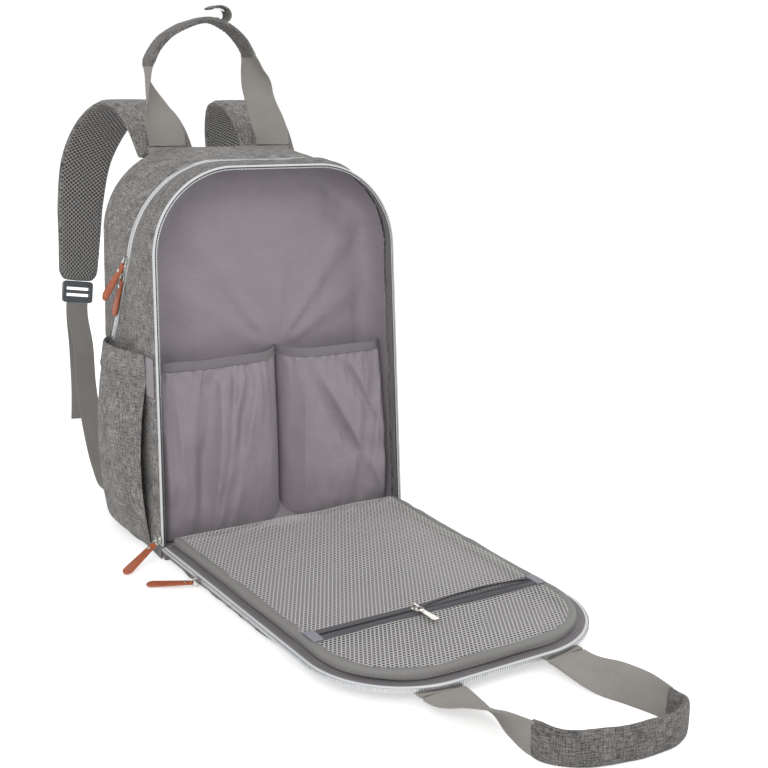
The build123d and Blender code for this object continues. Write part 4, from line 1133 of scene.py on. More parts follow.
def make_flap_mesh(sizes):
    """Mesh pocket on the flap: wavy binding, the two nets, and the dark zip between them."""
    for name, near, far, node in (
        ("flap_net_upper", 0.0045, MESH_ZIP_REACH - 0.0075, "mesh_upper"),
        ("flap_net_lower", MESH_ZIP_REACH + 0.0075, FLAP_LENGTH - 0.0165, "mesh_lower"),
    ):
        mesh, area = net_mesh(name, near, far, sizes)
        net = place(mesh, "flap", ["net_cloth"], "fine_mesh", [node])
    line = flap_line(BINDING_MIDDLE, 0.001, 320)
    along = travelled(line[:, :2])
    angle = np.arange(20) * TURN / 20
    wave = np.sin(along / 0.0115 + 2.2 * ripple(line[:, :2], 0.12, 71)) * sizes.binding_wave
    slow = ripple(line[:, :2], 0.09, 72) * sizes.binding_wave
    wide = 0.0045 + 0.25 * wave
    c, s = np.cos(angle)[None], np.sin(angle)[None]
    out = wide[:, None] * bent(c, 0.75) + slow[:, None] * 0.8
    z = 0.0197 + 0.4 * slow[:, None] + (0.0046 + 0.5 * wave[:, None]) * bent(s, 0.75)
    cloth(
        "flap_binding", border_points(line, out, z), "flap", "binding_cloth_light", "binding_tape",
        ["mesh_binding"], closed=True, flip=True,
    )
    edge = border_points(line, 0.0046 + 0 * line[:, :1], 0.018)[:, 0]
    outward = np.stack([line[:, 2], line[:, 3], 0.35 + 0 * line[:, 2]], 1)
    stitched("flap_binding_stitches", edge, outward, "flap", "pale_thread", "binding_tape", 0.0024, 0.0016)
    make_mesh_zip(sizes)


def make_mesh_zip(sizes):
    """Dark zip across the net: two tapes that close on the left of the slider and part on its
    right, their coils, and a pale tab at each end."""
    half = MESH_ZIP_HALF
    x = np.linspace(-half - 0.002, half + 0.002, 150)
    gape = sizes.zip_gape * np.sin(np.pi * np.clip((x + 0.01) / (half + 0.01), 0, 1)) ** 0.7 * (x > -0.01)
    for tag, way in (("near", -1), ("far", 1)):
        t = np.linspace(0, 1, 9)[:, None]
        width = 0.0086
        inner = 0.00035 + gape
        start = MESH_ZIP_REACH + way * (inner + (width - gape * 0.75) * t)
        lip = np.sin(np.pi / 2 * (1 - t)) ** 2
        z = 0.0244 + gape[None] * 0.7 * lip + 0.0003 * np.sin(np.pi * t)
        grid = grid_of(x[None], HINGE_Y - start, z)
        coil = grid[0].copy()
        out = facing([0.0, 0.25 * way, 1.0], 150)
        fine = evenly(np.concatenate([coil, out], 1), int(2 * half / 0.0013))
        points, faces = brick(0.0019, 0.0007, 0.0008)
        teeth = repeated_mesh(
            f"mesh_zip_coil_{tag}", fine[:, :3] + (0, way * -0.0003, 0.0001),
            facing([0.0, 1.0, 0.0], len(fine)), fine[:, 3:], points, faces,
        )
        place(teeth, "flap", ["dark_coil"], "dark_zip")
        cloth(
            f"mesh_zip_tape_{tag}", grid, "flap", "dark_tape", "dark_zip", ["mesh_zip"], 0.0008,
            flip=way > 0,
        )
        row = grid[6] + (0, 0, 0.0006)
        stitched(f"mesh_zip_stitches_{tag}", row, out, "flap", "dark_thread", "dark_zip", 0.0024, 0.0016)
    for side, way in (("left", -1), ("right", 1)):
        path = np.array(
            [[way * half + a, HINGE_Y - MESH_ZIP_REACH, 0.025] for a in np.linspace(-0.0052, 0.0052, 12)],
        )
        grid = swept(path, facing([0.0, 1.0, 0.0], 12), rounded(0.0205, 0.0019, 24, 3.0))
        cloth(f"mesh_zip_tab_{side}", grid, "flap", "tab_cloth", "dark_zip", (), closed=True)


# ---------- handles
def handle_stations(left_leg, arch, right_leg):
    """Stations of a handle from one sewn end to the other: x, how far out, and degrees turned.
    The turn goes on from on edge at the grip to lying over at the right end."""
    left = [(x - 63, out, turn) for x, out, turn in left_leg]
    right = [(x + 63, out, 180 - turn) for x, out, turn in reversed(right_leg)]
    return np.array(left + [(x, out, 90) for x, out in arch] + right, float)


REAR_STATIONS = handle_stations(
    [(0, 0, 0), (0, 5, 0), (-12, 36, 5), (-19, 60, 30), (-20, 83, 90)],
    [(-67, 110), (-40, 126), (-10, 132), (18, 119)],
    [(0, 0, 0), (0, 5, 0), (-13, 42, 5), (-21, 72, 40), (-28, 96, 90)],
)
FRONT_STATIONS = handle_stations(
    [(0, 0, 0), (0, 5, 0), (6, 36, 10), (9, 66, 45), (11, 96, 90)],
    [(-42, 118), (-16, 132), (20, 140), (50, 140), (69, 130)],
    [(0, 0, 0), (0, 5, 0), (1, 38, 15), (5, 74, 55), (8, 110, 90)],
)


def crowned(width, thickness, crown, count=36):
    """Cross-section of a padded band: flat in its middle, rounded at its edges."""
    angle = np.arange(count) * TURN / count
    c, s = np.cos(angle), np.sin(angle)
    x = bent(c, 0.55) * width / 2
    full = thickness / 2 * (1 + crown * (1 - (2 * x / width) ** 2))
    return np.stack([x, bent(s, 0.6) * full], 1)


def bent_strip(width, thickness, bend, count=15):
    """Cross-section of webbing that cups: an arc of the strip's width that turns by the bend, in
    radians, with half the thickness on each side."""
    t = np.linspace(-0.5, 0.5, count)
    angle = t * max(bend, 1e-4)
    radius = width / max(bend, 1e-4)
    middle = np.stack([radius * np.sin(angle), -radius * (1 - np.cos(angle))], 1)
    middle[:, 1] += radius * (1 - math.cos(bend / 2)) / 2
    normal = np.stack([np.sin(angle), np.cos(angle)], 1) * thickness / 2
    return np.concatenate([(middle - normal), (middle + normal)[::-1]])


def make_handle(which, stations, spot, side_of, body, nodes, sizes):
    """One carrying handle: webbing legs that cup as they turn on edge, and a padded grip."""
    line = line_of_handle(stations, 300)
    x, out, turn = line.T
    marks = travelled(spot(*(stations / (1000, 1000, 1)).T))
    marks = marks / marks[-1]
    leg = 5
    first, last = marks[leg - 1], marks[-leg]
    share = np.linspace(0, 1, 300)
    twist = sizes.rear_twist if which == "rear_handle" else sizes.front_twist
    turn = 90 * ease(share, first * twist * 0.3, first + 0.03)
    turn = turn + 90 * ease(share, last - 0.03, 1 - (1 - last) * twist)
    points = spot(x, out, turn)
    side = side_of(turn)
    off_flat = np.minimum(turn, 180 - turn)
    for tag, chosen in (("left", share <= first + 0.012), ("right", share >= last - 0.012)):
        part = np.flatnonzero(chosen)
        away = share[part] / first if tag == "left" else (1 - share[part]) / (1 - last)
        width = 0.042 - (0.042 - sizes.grip_width) * ease(away, 0.1, 1)
        bend = sizes.cup * hump(off_flat[part], 52, 30)
        outline = np.stack([bent_strip(w, sizes.web_thickness, b) for w, b in zip(width, bend)])
        grid = swept(points[part], side[part], outline)
        cloth(
            f"{which}_webbing_{tag}", grid, body, "webbing_cloth", "webbing", [nodes[0]], closed=True,
        )
    part = np.flatnonzero((share >= first - 0.004) & (share <= last + 0.004))
    mid = travelled(points[part]) / travelled(points[part])[-1]
    hem = np.minimum(mid, 1 - mid)
    thick = sizes.grip_thickness * (0.62 + 0.38 * ease(hem, 0, 0.05)) * (1 + 0.05 * np.sin(mid * 37))
    wide = sizes.grip_width * (1 + 0.02 * np.sin(mid * 23 + 1))
    outline = np.stack([crowned(w, t, sizes.grip_crown) for w, t in zip(wide, thick)])
    grid = swept(points[part], side[part], outline)
    grid = grid + (ripple(grid, 0.03, 81) * 0.0004)[..., None] * np.array([0.4, 0.4, 0.8])
    mesh = grid_mesh(f"{which}_cover", grid, (False, True), caps=True)
    cover = place(mesh, body, ["heather_cloth_fine"], "heather_fabric", [nodes[1]], levels=1)
    _, across, normal = path_frame(points[part], side[part])
    inset = sizes.grip_width / 2 - 0.0032
    for tag, way in (("one", 1), ("other", -1)):
        for face, up in (("outer", 1), ("inner", -1)):
            row = points[part] + across * (way * inset) + normal * (up * thick * 0.44)[:, None]
            stitched(f"{which}_seam_{tag}_{face}", row[3:-3], up * normal[3:-3], body)


def line_of_handle(stations, count):
    """Smooth stations: the curve through them, with distances in metres and the turn carried."""
    base = stations / (1000, 1000, 1)
    carried = np.column_stack([base[:, 0], base[:, 1], 0 * base[:, 0], base[:, 2]])
    return curve_through(carried, count)[:, [0, 1, 3]]


def turned(turn, upright):
    """Direction across webbing turned from flat towards on edge."""
    angle = np.radians(turn)[:, None]
    return np.cos(angle) * np.array([1.0, 0, 0]) + np.sin(angle) * np.array(upright)


REAR_HANDLE_Y = REAR + 0.001
REAR_HANDLE_Z = 0.4046
FRONT_FLAT_Z = FLAP_UNDER - 0.001
FRONT_HANDLE_START = FLAP_LENGTH + 0.0012


def rear_spot(x, out, turn):
    """Point of the rear handle."""
    return np.stack([x, REAR_HANDLE_Y + 0 * x, REAR_HANDLE_Z + out], 1)


def front_spot(x, out, turn):
    """Point of the front handle: flat under the flap's tip, and standing on the floor where it
    is on edge."""
    stand = bpy.context.scene.backpack_handles.grip_width / 2 + 0.0006
    z = FRONT_FLAT_Z + (stand - FRONT_FLAT_Z) * np.sin(np.radians(turn))
    return np.stack([x, HINGE_Y - FRONT_HANDLE_START - out, z], 1)


def box_and_cross(middle, across, along, half_wide, half_long, steps):
    """Sewing line round a box and over its two diagonals, with so many points to a side."""
    w, h = half_wide, half_long
    corners = np.array([(-w, -h), (w, -h), (w, h), (-w, h), (-w, -h), (w, h), (w, -h), (-w, h)])
    share = np.linspace(0, 1, steps, endpoint=False)[:, None]
    spots = np.concatenate([a + (b - a) * share for a, b in zip(corners[:-1], corners[1:])])
    return middle + spots[:, :1] * across + spots[:, 1:] * along


def sewn_patch(name, low, high, body, finish, slot, nodes, outward):
    """Flat sewn piece between two corners, with rounded edges and a sewn box with a cross."""
    low, high = np.array(low, float), np.array(high, float)
    outward = np.array(outward, float)
    depth_axis = int(np.argmax(np.abs(outward)))
    along_axis = 2 if depth_axis == 1 else 1
    size = high - low
    middle = (low + high) / 2
    path = np.repeat(middle[None], 14, 0)
    path[:, along_axis] = np.linspace(low[along_axis] + 0.0002, high[along_axis] - 0.0002, 14)
    grid = swept(path, facing([1.0, 0.0, 0.0], 14), rounded(size[0], size[depth_axis], 28, 6.0))
    cloth(name, grid, body, finish, slot, nodes, closed=True)
    route = box_and_cross(
        middle + outward * size[depth_axis] / 2, np.eye(3)[0], np.eye(3)[along_axis],
        size[0] / 2 - 0.0032, size[along_axis] / 2 - 0.0035, 12,
    )
    stitched(f"{name}_stitches", route, facing(outward, len(route)), body, slot=slot)


def make_handles(sizes):
    """Both carrying handles, their sewn ends, and the keeper strip on the rear grip."""
    make_handle(
        "rear_handle", REAR_STATIONS, rear_spot, lambda t: turned(t, (0, 1, 0)), "rear_handle",
        ("rear_handle_web", "rear_handle_grip"), sizes,
    )
    make_handle(
        "front_handle", FRONT_STATIONS, front_spot, lambda t: turned(t, (0, 0, -1)), "front_handle",
        ("front_handle_web", "front_handle_grip"), sizes,
    )
    for side, way in (("left", -1), ("right", 1)):
        middle = way * 0.063
        sewn_patch(
            f"rear_handle_end_{side}", (middle - 0.021, REAR, 0.3762), (middle + 0.021, REAR + 0.002, 0.4044),
            "bag", "webbing_cloth", "webbing", ["rear_handle_anchors"], (0, 1, 0),
        )
        sewn_patch(
            f"front_handle_end_{side}",
            (middle - 0.021, HINGE_Y - FLAP_LENGTH - 0.001, FLAP_UNDER - 0.002),
            (middle + 0.021, HINGE_Y - FLAP_LENGTH + 0.028, FLAP_UNDER),
            "flap", "webbing_cloth", "webbing", ["front_handle_anchors"], (0, 0, -1),
        )
    crown = np.array([-0.01, REAR_HANDLE_Y, REAR_HANDLE_Z + 0.132])
    beyond = np.array([0.018, REAR_HANDLE_Y, REAR_HANDLE_Z + 0.119])
    run = unit(beyond - crown)
    lift = np.array([-run[2], 0, run[0]])
    curl = np.array(
        [(2, -0.7), (6.5, -0.5), (11, 0), (14.8, 3), (15.4, 9), (11, 13.4), (4, 13.7), (-2.5, 10.4),
         (-7.5, 5.2)],
    ) / 1000
    stations = crown + curl[:, :1] * run + (curl[:, 1:] + 0.004) * lift
    path = curve_through(stations, 70)
    grid = swept(path, facing([0.0, 1.0, 0.0], 70), rounded(0.021, 0.0024, 28, 5.0))
    cloth(
        "keeper_webbing", grid, "keeper", "heather_cloth_fine", "webbing", ["keeper_strip"], closed=True,
    )


# ---------- shoulder straps
STRAP_STATIONS = np.array(
    [(-62, 85, 393.5), (-64, 112, 424), (-66, 148, 443), (-68, 186, 446), (-80, 226, 424),
     (-93, 258, 380), (-100, 266, 330), (-105, 262, 283), (-112, 253, 236)]
) / 1000
STRAP_HALF_WIDTHS = np.array([33, 33, 33, 33, 33, 30.5, 28, 25.5, 23]) / 1000
LOCK_WAY = np.array([-0.1447, -0.1861, -0.9718])
LOCK_END = np.array([-115.85, 248.05, 210.15]) / 1000
WEB_STATIONS = np.array(
    [(-117, 228, 160), (-120, 214, 115), (-123, 186, 70), (-126, 150, 34), (-128, 120, 20), (-128, 112, 20)],
) / 1000
TAIL_STATIONS = np.array([(-118, 240, 155), (-121, 229, 110), (-124, 226, 72)]) / 1000
BOX_ROW = 137


def make_strap(side, way, sizes):
    """Padded shoulder strap: outer cloth over its back, open mesh inside, bound edges."""
    flip = np.array([way, 1.0, 1.0])
    stations = np.column_stack([STRAP_STATIONS * flip, STRAP_HALF_WIDTHS])
    line = curve_through(stations, 150)
    share = np.linspace(0, 1, 150)
    tip_round = 1 - np.sqrt(np.maximum(1 - ease(share, 0.955, 1.0) ** 2, 0))
    path, half = line[:, :3], line[:, 3] * (1 - 0.3 * tip_round)
    filled = ease(share, 0.0, 0.09) * (1.0 - 0.2 * ease(share, 0.96, 1.0))
    thick = 0.0042 + (sizes.pad_thickness - 0.0042) * filled
    columns = 60
    angle = np.arange(columns) * TURN / columns
    c, s = np.cos(angle)[None], np.sin(angle)[None]
    x = bent(c, 0.5) * half[:, None]
    near_edge = np.clip((1 - np.abs(x) / half[:, None]) * half[:, None] / 0.006, 0, 1)
    crown = 1 + sizes.pad_crown * (1 - (x / half[:, None]) ** 2)
    body = thick[:, None] / 2 * (0.62 + 0.38 * ease(near_edge, 0.15, 1.0)) * crown
    sewn = hump(share, BOX_ROW / 149, 0.03)[:, None] ** 2 * hump(x, 0, 0.012) ** 2
    y = bent(s, 0.45) * body * (1 - 0.35 * sewn)
    outline = np.stack([x, y], 2)
    side_way = facing([1.0, 0.0, 0.0], 150)
    grid = swept(path, side_way, outline)
    finish = np.zeros((149, columns), int)
    middle = (angle + TURN / columns / 2) % TURN
    inner = (middle > 0.0) & (middle < np.pi)
    finish[:, inner] = 1
    bound = np.abs(np.cos(middle)) > 0.8
    finish[:, bound] = 0
    mesh = grid_mesh(f"strap_pad_{side}_cover", grid, (False, True), caps=True, finish_of=finish)
    pad = place(
        mesh, f"strap_{side}", ["heather_cloth", "air_mesh_cloth"], "heather_fabric",
        [f"strap_pad_{side}"], levels=1,
    )
    tangent, across, normal = path_frame(path, side_way)
    for tag, edge in (("in", -1), ("out", 1)):
        for face, up in (("inner", 1), ("outer", -1)):
            row = path + across * (edge * (half - 0.0055))[:, None] + normal * (up * thick * 0.44)[:, None]
            name = f"strap_{side}_{face}_seam_{tag}"
            stitched(name, row[8:-4], up * normal[8:-4], f"strap_{side}")
    spot = BOX_ROW
    centre, a, b, n = path[spot], across[spot], tangent[spot], normal[spot]
    for face, up in (("inner", 1), ("outer", -1)):
        top = centre + n * up * (thick[spot] / 2 * (1 + sizes.pad_crown) * 0.72 + 0.0004)
        route = box_and_cross(top, a, b, 0.0115, 0.0115, 10)
        stitched(f"strap_{side}_box_{face}", route, facing(up * n, len(route)), f"strap_{side}")


def make_strap_webs(side, way):
    """Lower webbing from the lock to its anchor, and its loose tail."""
    flip = np.array([way, 1.0, 1.0])
    across = np.array([1.0, 0, 0]) - LOCK_WAY * LOCK_WAY[0]
    normal = unit(np.cross(LOCK_WAY, across))
    for tag, shift, rest in (("web", 0.002, WEB_STATIONS), ("tail", -0.002, TAIL_STATIONS)):
        start = LOCK_END + normal * shift
        stations = np.concatenate([[start, start + LOCK_WAY * 0.005], rest]) * flip
        count = 120 if tag == "web" else 70
        path = curve_through(stations, count)
        curl = np.linspace(0, 1, count)
        side_way = facing([1.0, 0.0, 0.0], count)
        side_way[:, 1] = 0.1 * np.sin(curl * 5.0 + (0.0 if tag == "web" else 1.3)) * np.sin(np.pi * curl)
        grid = swept(path, side_way, rounded(0.025, 0.0016, 28, 5.0))
        mesh = grid_mesh(f"strap_{tag}_{side}_cloth", grid, (False, True), caps=True)
        piece = place(mesh, None, ["webbing_cloth_narrow"], "webbing", [f"strap_web_{side}"])
        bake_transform(piece)


def make_straps(sizes):
    """Both shoulder straps, the webbing under them, their anchors and the yoke over their roots."""
    for side, way in (("left", 1), ("right", -1)):
        make_strap(side, way, sizes)
        make_strap_webs(side, way)
        middle = -way * 0.128
        path = np.array([[middle, y, 0.02] for y in np.linspace(REAR, REAR + 0.0312, 16)])
        wide = np.interp(np.linspace(0, 1, 16), [0, 1], [0.0274, 0.0245])
        tall = np.interp(np.linspace(0, 1, 16), [0, 0.25, 1], [0.017, 0.0075, 0.0034])
        grid = swept(
            path, facing([1.0, 0.0, 0.0], 16),
            np.stack([rounded(a, b, 28, 4.0) for a, b in zip(wide, tall)]),
        )
        mesh = grid_mesh(f"web_anchor_{side}", grid, (False, True), caps=True)
        anchor = place(mesh, "bag", ["heather_cloth_fine"], "webbing", ["web_anchors"], levels=1)
    sewn_patch(
        "strap_yoke_cloth", (-0.086, REAR + 0.002, 0.3762), (0.086, REAR + 0.0032, 0.3905), "bag",
        "heather_cloth_fine", "webbing", ["strap_yoke"], (0, 1, 0),
    )


# ---------- back
def blown(name, grid, cap, held_down):
    """Swell a closed padded form by air pressure, as stuffing does between sewn edges. Points near
    the wall stay where they are sewn, and none moves further than the cap."""
    pad = linked(f"{name}_form", grid_mesh(f"{name}_form", grid, (False, True), flip=True, caps=True))
    remesh = pad.modifiers.new("remesh", "REMESH")
    remesh.mode, remesh.voxel_size = "VOXEL", 0.0042
    shape = bpy.data.meshes.new_from_object(pad.evaluated_get(bpy.context.evaluated_depsgraph_get()))
    pad.modifiers.clear()
    pad.data = shape
    before = np.array([v.co for v in shape.vertices], float)
    sewn = held_down(before)
    group = pad.vertex_groups.new(name="sewn")
    group.add([int(i) for i in np.flatnonzero(sewn)], 1.0, "REPLACE")
    cloth_air = pad.modifiers.new("air", "CLOTH")
    settings = cloth_air.settings
    settings.use_pressure, settings.uniform_pressure_force = True, 4.0
    settings.effector_weights.gravity = 0.0
    settings.vertex_group_mass = "sewn"
    settings.quality = 4
    cloth_air.point_cache.frame_start, cloth_air.point_cache.frame_end = 1, 20
    scene = bpy.context.scene
    for step in range(1, 21):
        scene.frame_set(step)
    swelled = bpy.data.meshes.new_from_object(pad.evaluated_get(bpy.context.evaluated_depsgraph_get()))
    after = np.array([v.co for v in swelled.vertices], float)
    moved = after - before
    size = np.linalg.norm(moved, axis=1, keepdims=True)
    points = before + moved * np.minimum(1, cap / np.maximum(size, 1e-9))
    scene.frame_set(1)
    pad.modifiers.clear()
    shape.vertices.foreach_set("co", points.ravel())
    shape.update()
    smooth = pad.modifiers.new("smooth", "SUBSURF")
    smooth.levels = smooth.render_levels = 1
    final = bpy.data.meshes.new_from_object(pad.evaluated_get(bpy.context.evaluated_depsgraph_get()))
    bpy.data.objects.remove(pad)
    final.name = name
    return final


def cushion_outline(x, up):
    """Distance inside the cushion's sewn edge."""
    half = arch_half(up + 0.012, CUSHION_INSET)
    return np.minimum(half - np.abs(x), np.minimum(up - CUSHION_FOOT, CUSHION_TOP - up))


def quilting(x, up):
    """Share of a point that lies in a sewn channel of the cushion."""
    lines = [hump(x, way * CHANNEL_X, 0.0042) for way in (-1, 1)]
    lines += [hump(up, height, 0.0042) * (np.abs(x) < 0.056) for height in (0.125, 0.215, 0.3)]
    return np.max(lines, axis=0) * ease(cushion_outline(x, up), 0.0, 0.018)


def make_back_cushion(sizes):
    """Padded back panel under open mesh, swelled by air pressure, with its edge and its channels
    sewn down."""
    up = np.linspace(CUSHION_FOOT, CUSHION_TOP, 60)
    share = np.linspace(-1, 1, 47)[None]
    x = arch_half(up + 0.012, CUSHION_INSET)[:, None] * share
    inside = np.maximum(cushion_outline(x, up[:, None] + 0 * x), 0)
    t = np.clip(inside / 0.014, 0, 1)
    start = 0.0028 + (sizes.cushion * 0.62 - 0.0028) * quarter_oval(t)
    y = REAR + 0.0002 + start
    upper = np.stack([x, y, up[:, None] + 0 * x], 2)
    lower = np.stack([x, REAR + 0.0001 + 0 * x, up[:, None] + 0 * x], 2)[:, ::-1]
    grid = np.concatenate([upper, lower[:, 1:-1]], 1)
    mesh = blown(
        "back_cushion", grid, sizes.cushion * 0.5,
        lambda p: (p[:, 1] < REAR + 0.0016) | (cushion_outline(p[:, 0], p[:, 2]) < 0.003),
    )
    points = np.array([v.co for v in mesh.vertices], float)
    depth = np.maximum(points[:, 1] - REAR, 0)
    pressed = quilting(points[:, 0], points[:, 2]) * 0.62
    behind = np.minimum(points[:, 1] - REAR, 0)
    points[:, 1] = REAR + np.minimum(depth * (1 - pressed), sizes.cushion * 1.12) + behind * 0.2
    mesh.vertices.foreach_set("co", points.ravel())
    mesh.update()
    corners = np.empty(len(mesh.loops), np.int32)
    mesh.loops.foreach_get("vertex_index", corners)
    places = mesh.uv_layers.get("UVMap") or mesh.uv_layers.new(name="UVMap")
    places.data.foreach_set("uv", points[corners][:, [0, 2]].ravel().astype(np.float32))
    mesh.shade_smooth()
    pad = place(mesh, "bag", ["air_mesh_cloth"], "air_mesh", ["back_pad"], levels=0)
    front = points[points[:, 1] > REAR + 0.0014]
    for way in (-1, 1):
        z = np.linspace(0.05, 0.352, 120)
        near = front[np.abs(front[:, 0] - way * CHANNEL_X) < 0.0016]
        y = [near[np.argsort(np.abs(near[:, 2] - height))[:3], 1].mean() for height in z]
        row = grid_of(way * CHANNEL_X, np.array(y) + 0.0001, z)
        name = f"cushion_seam_{'right' if way > 0 else 'left'}"
        stitched(name, row, facing([0.0, 1.0, 0.0], 120), "bag", slot="air_mesh")


def make_back_zip():
    """Upright zip beside the back cushion."""
    z = np.linspace(0.06, 0.3, 80)[:, None]
    t = np.linspace(-1, 1, 9)[None]
    x = -0.122 + 0.004 * t
    grid = grid_of(x, REAR + 0.0013 + 0.0002 * np.cos(np.pi * t), z)
    points, faces = brick(0.0026, 0.0008, 0.0009)
    spots = np.column_stack(
        [np.full(170, -0.122), np.full(170, REAR + 0.0014), np.linspace(0.061, 0.299, 170)],
    )
    coil = repeated_mesh(
        "back_zip_coil", spots, facing([1.0, 0, 0], 170), facing([0.0, 1.0, 0], 170), points,
        faces,
    )
    place(coil, "bag", ["dark_coil"], "dark_zip")
    cloth(
        "back_zip_tape", grid, "bag", "dark_tape", "dark_zip", ["back_zip"], 0.0009, flip=True,
    )


# ---------- pulls
def tab_frame(node, joint):
    """Place and directions of a pull's tab: its centre, along it away from its joint, across it
    and out of its face, from the spread of its own points."""
    points = np.array([v.co for v in frame["nodes"][node].data.vertices], float)
    pivot = np.array(next(j["pos_m"] for j in frame["joints"] if j["name"] == joint), float)
    centre = points.mean(0)
    _, _, axes = np.linalg.svd(points - centre, full_matrices=False)
    along, across, out = axes
    if (centre - pivot) @ along < 0:
        along = -along
    out = np.cross(along, across)
    size = [(points - centre) @ axis for axis in (along, across, out)]
    centre = centre + sum(axis * (s.min() + s.max()) / 2 for axis, s in zip((along, across, out), size))
    return centre, along, across, out, [s.max() - s.min() for s in size]


def make_tab(node, joint, body, sizes, replaced, neck_share=0.62):
    """Leather tab: narrow at its ring, wide and round at its free end, soft edges, and a row of
    stitches round it."""
    centre, along, across, out, (length, width, thickness) = tab_frame(node, joint)
    thickness = min(thickness, sizes.pull_thickness)
    t = np.concatenate(
        [np.linspace(0, 0.06, 6), np.linspace(0.06, 0.86, 24)[1:],
         0.86 + 0.14 * np.sin(np.linspace(0, np.pi / 2, 14))[1:]],
    )
    wide = width * (neck_share + (1 - neck_share) * np.clip(t / 0.86, 0, 1))
    wide = wide * np.where(t < 0.06, 0.9 + 0.1 * np.sqrt(np.clip(t / 0.06, 0, 1)), 1)
    end = np.clip((t - 0.86) / 0.14, 0, 1)
    wide = wide * np.sqrt(np.maximum(1 - end**2, 0.0025))
    path = centre + along * ((t - 0.5) * length)[:, None]
    edge = thickness * (0.92 - 0.25 * end**6)
    outline = np.stack([rounded(a, b, 28, 3.4) for a, b in zip(wide, edge)])
    grid = swept(path, facing(across, len(t)), outline)
    mesh = grid_mesh(f"{node}_leather", grid, (False, True), caps=True)
    place(mesh, body, ["leather_tan"], "tan_leather", [replaced], levels=1)
    angle = np.linspace(0, np.pi, 24)
    inset = 0.0014
    foot = width / 2 - inset
    arc = [(0.5 * length - width / 2 + foot * math.sin(a), foot * math.cos(a)) for a in angle]
    neck = width * neck_share / 2 - inset * 0.8
    start = -0.5 * length + 0.0095
    ring = [(start, neck)] + arc + [(start, -neck)]
    if length < 0.035:
        return
    for face, way in (("front", 1), ("back", -1)):
        row = np.array([centre + along * a + across * b + out * way * (thickness * 0.46) for a, b in ring])
        stitched(
            f"{node}_stitches_{face}", evenly(row, 60), facing(way * out, 60), body, "leather_thread",
            "tan_leather", 0.0021, 0.0011,
        )


def make_pulls(sizes):
    """Leather tabs of all pulls."""
    for name in ("opening", "main_upper", "main_lower", "front_pocket"):
        node = f"{name}_pull_tab"
        make_tab(node, f"{name}_pull_swing", f"{name}_pull", sizes, node)


def paint_nodes():
    """Finishes of the hard nodes that stay as they are."""
    for name, node in frame["nodes"].items():
        if name.endswith(("_slider", "_metal")) or name in ("keeper_snap", "mesh_pull"):
            finish = "nickel_plate"
        elif name.startswith("ladder_lock"):
            finish = "grey_plastic"
        elif name == "base_board":
            finish = "board_sheet"
        elif name in ("back_upper_pull", "back_lower_pull"):
            finish = "leather_tan"
        else:
            continue
        node.data.materials.clear()
        node.data.materials.append(bpy.data.materials[finish])


# ---------- stage
def make_stage(sizes):
    """Camera, lights, and a white floor and surroundings that keep the shadow."""
    camera = linked("camera", bpy.data.cameras.new("camera"))
    yaw, pitch, roll = (math.radians(a) for a in (-32.51, 14.27, 1.1))
    ahead = Vector((-math.sin(yaw) * math.cos(pitch), math.cos(yaw) * math.cos(pitch), -math.sin(pitch)))
    right = Vector((math.cos(yaw), math.sin(yaw), 0))
    above = right.cross(ahead)
    right, above = (
        right * math.cos(roll) + above * math.sin(roll),
        above * math.cos(roll) - right * math.sin(roll),
    )
    camera.matrix_world = Matrix.LocRotScale(
        Vector((-0.5717, -1.1601, 0.4808)), Matrix((right, above, -ahead)).transposed(), None
    )
    camera.data.lens = sizes.lens
    camera.data.sensor_width = 36.0
    camera.data.clip_start = 0.01
    bpy.context.scene.camera = camera

    f = Finish("floor_paint")
    path = f.add("LightPath")
    lit = f.add("BsdfDiffuse", {"Color": (*sizes.floor_colour, 1)})
    glow = f.add("Emission", {"Color": (*sizes.floor_glow, 1), "Strength": sizes.floor_glow_strength})
    both = f.add("AddShader", {0: lit.outputs[0], 1: glow.outputs[0]})
    seen_or_mirrored = f.math("MAXIMUM", path.outputs["Is Camera Ray"], path.outputs["Is Glossy Ray"])
    chosen = f.add("MixShader", {0: seen_or_mirrored, 1: lit.outputs[0], 2: both.outputs[0]})
    f.add("OutputMaterial", {0: chosen.outputs[0]})
    half, low = 40.0, -0.0004
    points = [(-half, -half, low), (half, -half, low), (half, half, low), (-half, half, low)]
    mesh = bpy.data.meshes.new("floor")
    mesh.from_pydata(points, [], [(0, 1, 2, 3)])
    mesh.materials.append(f.owner)
    stage_pieces = [linked("floor", mesh)]

    f = Finish("surroundings", "worlds")
    rays = f.add("LightPath")
    seen = f.add("Background", {"Color": (1, 1, 1, 1)})
    lights = f.add("Background", {"Color": (1, 1, 1, 1), "Strength": sizes.ambient})
    shown = f.math("MAXIMUM", rays.outputs["Is Camera Ray"], rays.outputs["Is Transmission Ray"])
    mirrored = f.math("MAXIMUM", shown, rays.outputs["Is Glossy Ray"])
    mixed = f.add("MixShader", {0: mirrored, 1: lights.outputs[0], 2: seen.outputs[0]})
    f.add("OutputWorld", {0: mixed.outputs[0]})
    bpy.context.scene.world = f.owner
    bpy.context.scene.view_settings.view_transform = "Standard"

    for name, spot, size, power in (
        ("front_left_light", (-1.5, -1.9, 1.5), 1.4, sizes.key_power),
        ("front_right_light", (1.7, -1.3, 1.3), 1.6, sizes.fill_power),
        ("overhead_light", (0.1, -0.3, 2.2), 1.8, sizes.top_power),
        ("rear_light", (0.7, 2.1, 1.3), 1.8, sizes.rear_power),
    ):
        light = bpy.data.lights.new(name, "AREA")
        light.size = size
        light.energy = power
        lamp = linked(name, light)
        towards = Vector((0.0, -0.15, 0.2)) - Vector(spot)
        lamp.matrix_world = Matrix.Translation(spot) @ towards.to_track_quat("-Z", "Y").to_matrix().to_4x4()
        stage_pieces.append(lamp)


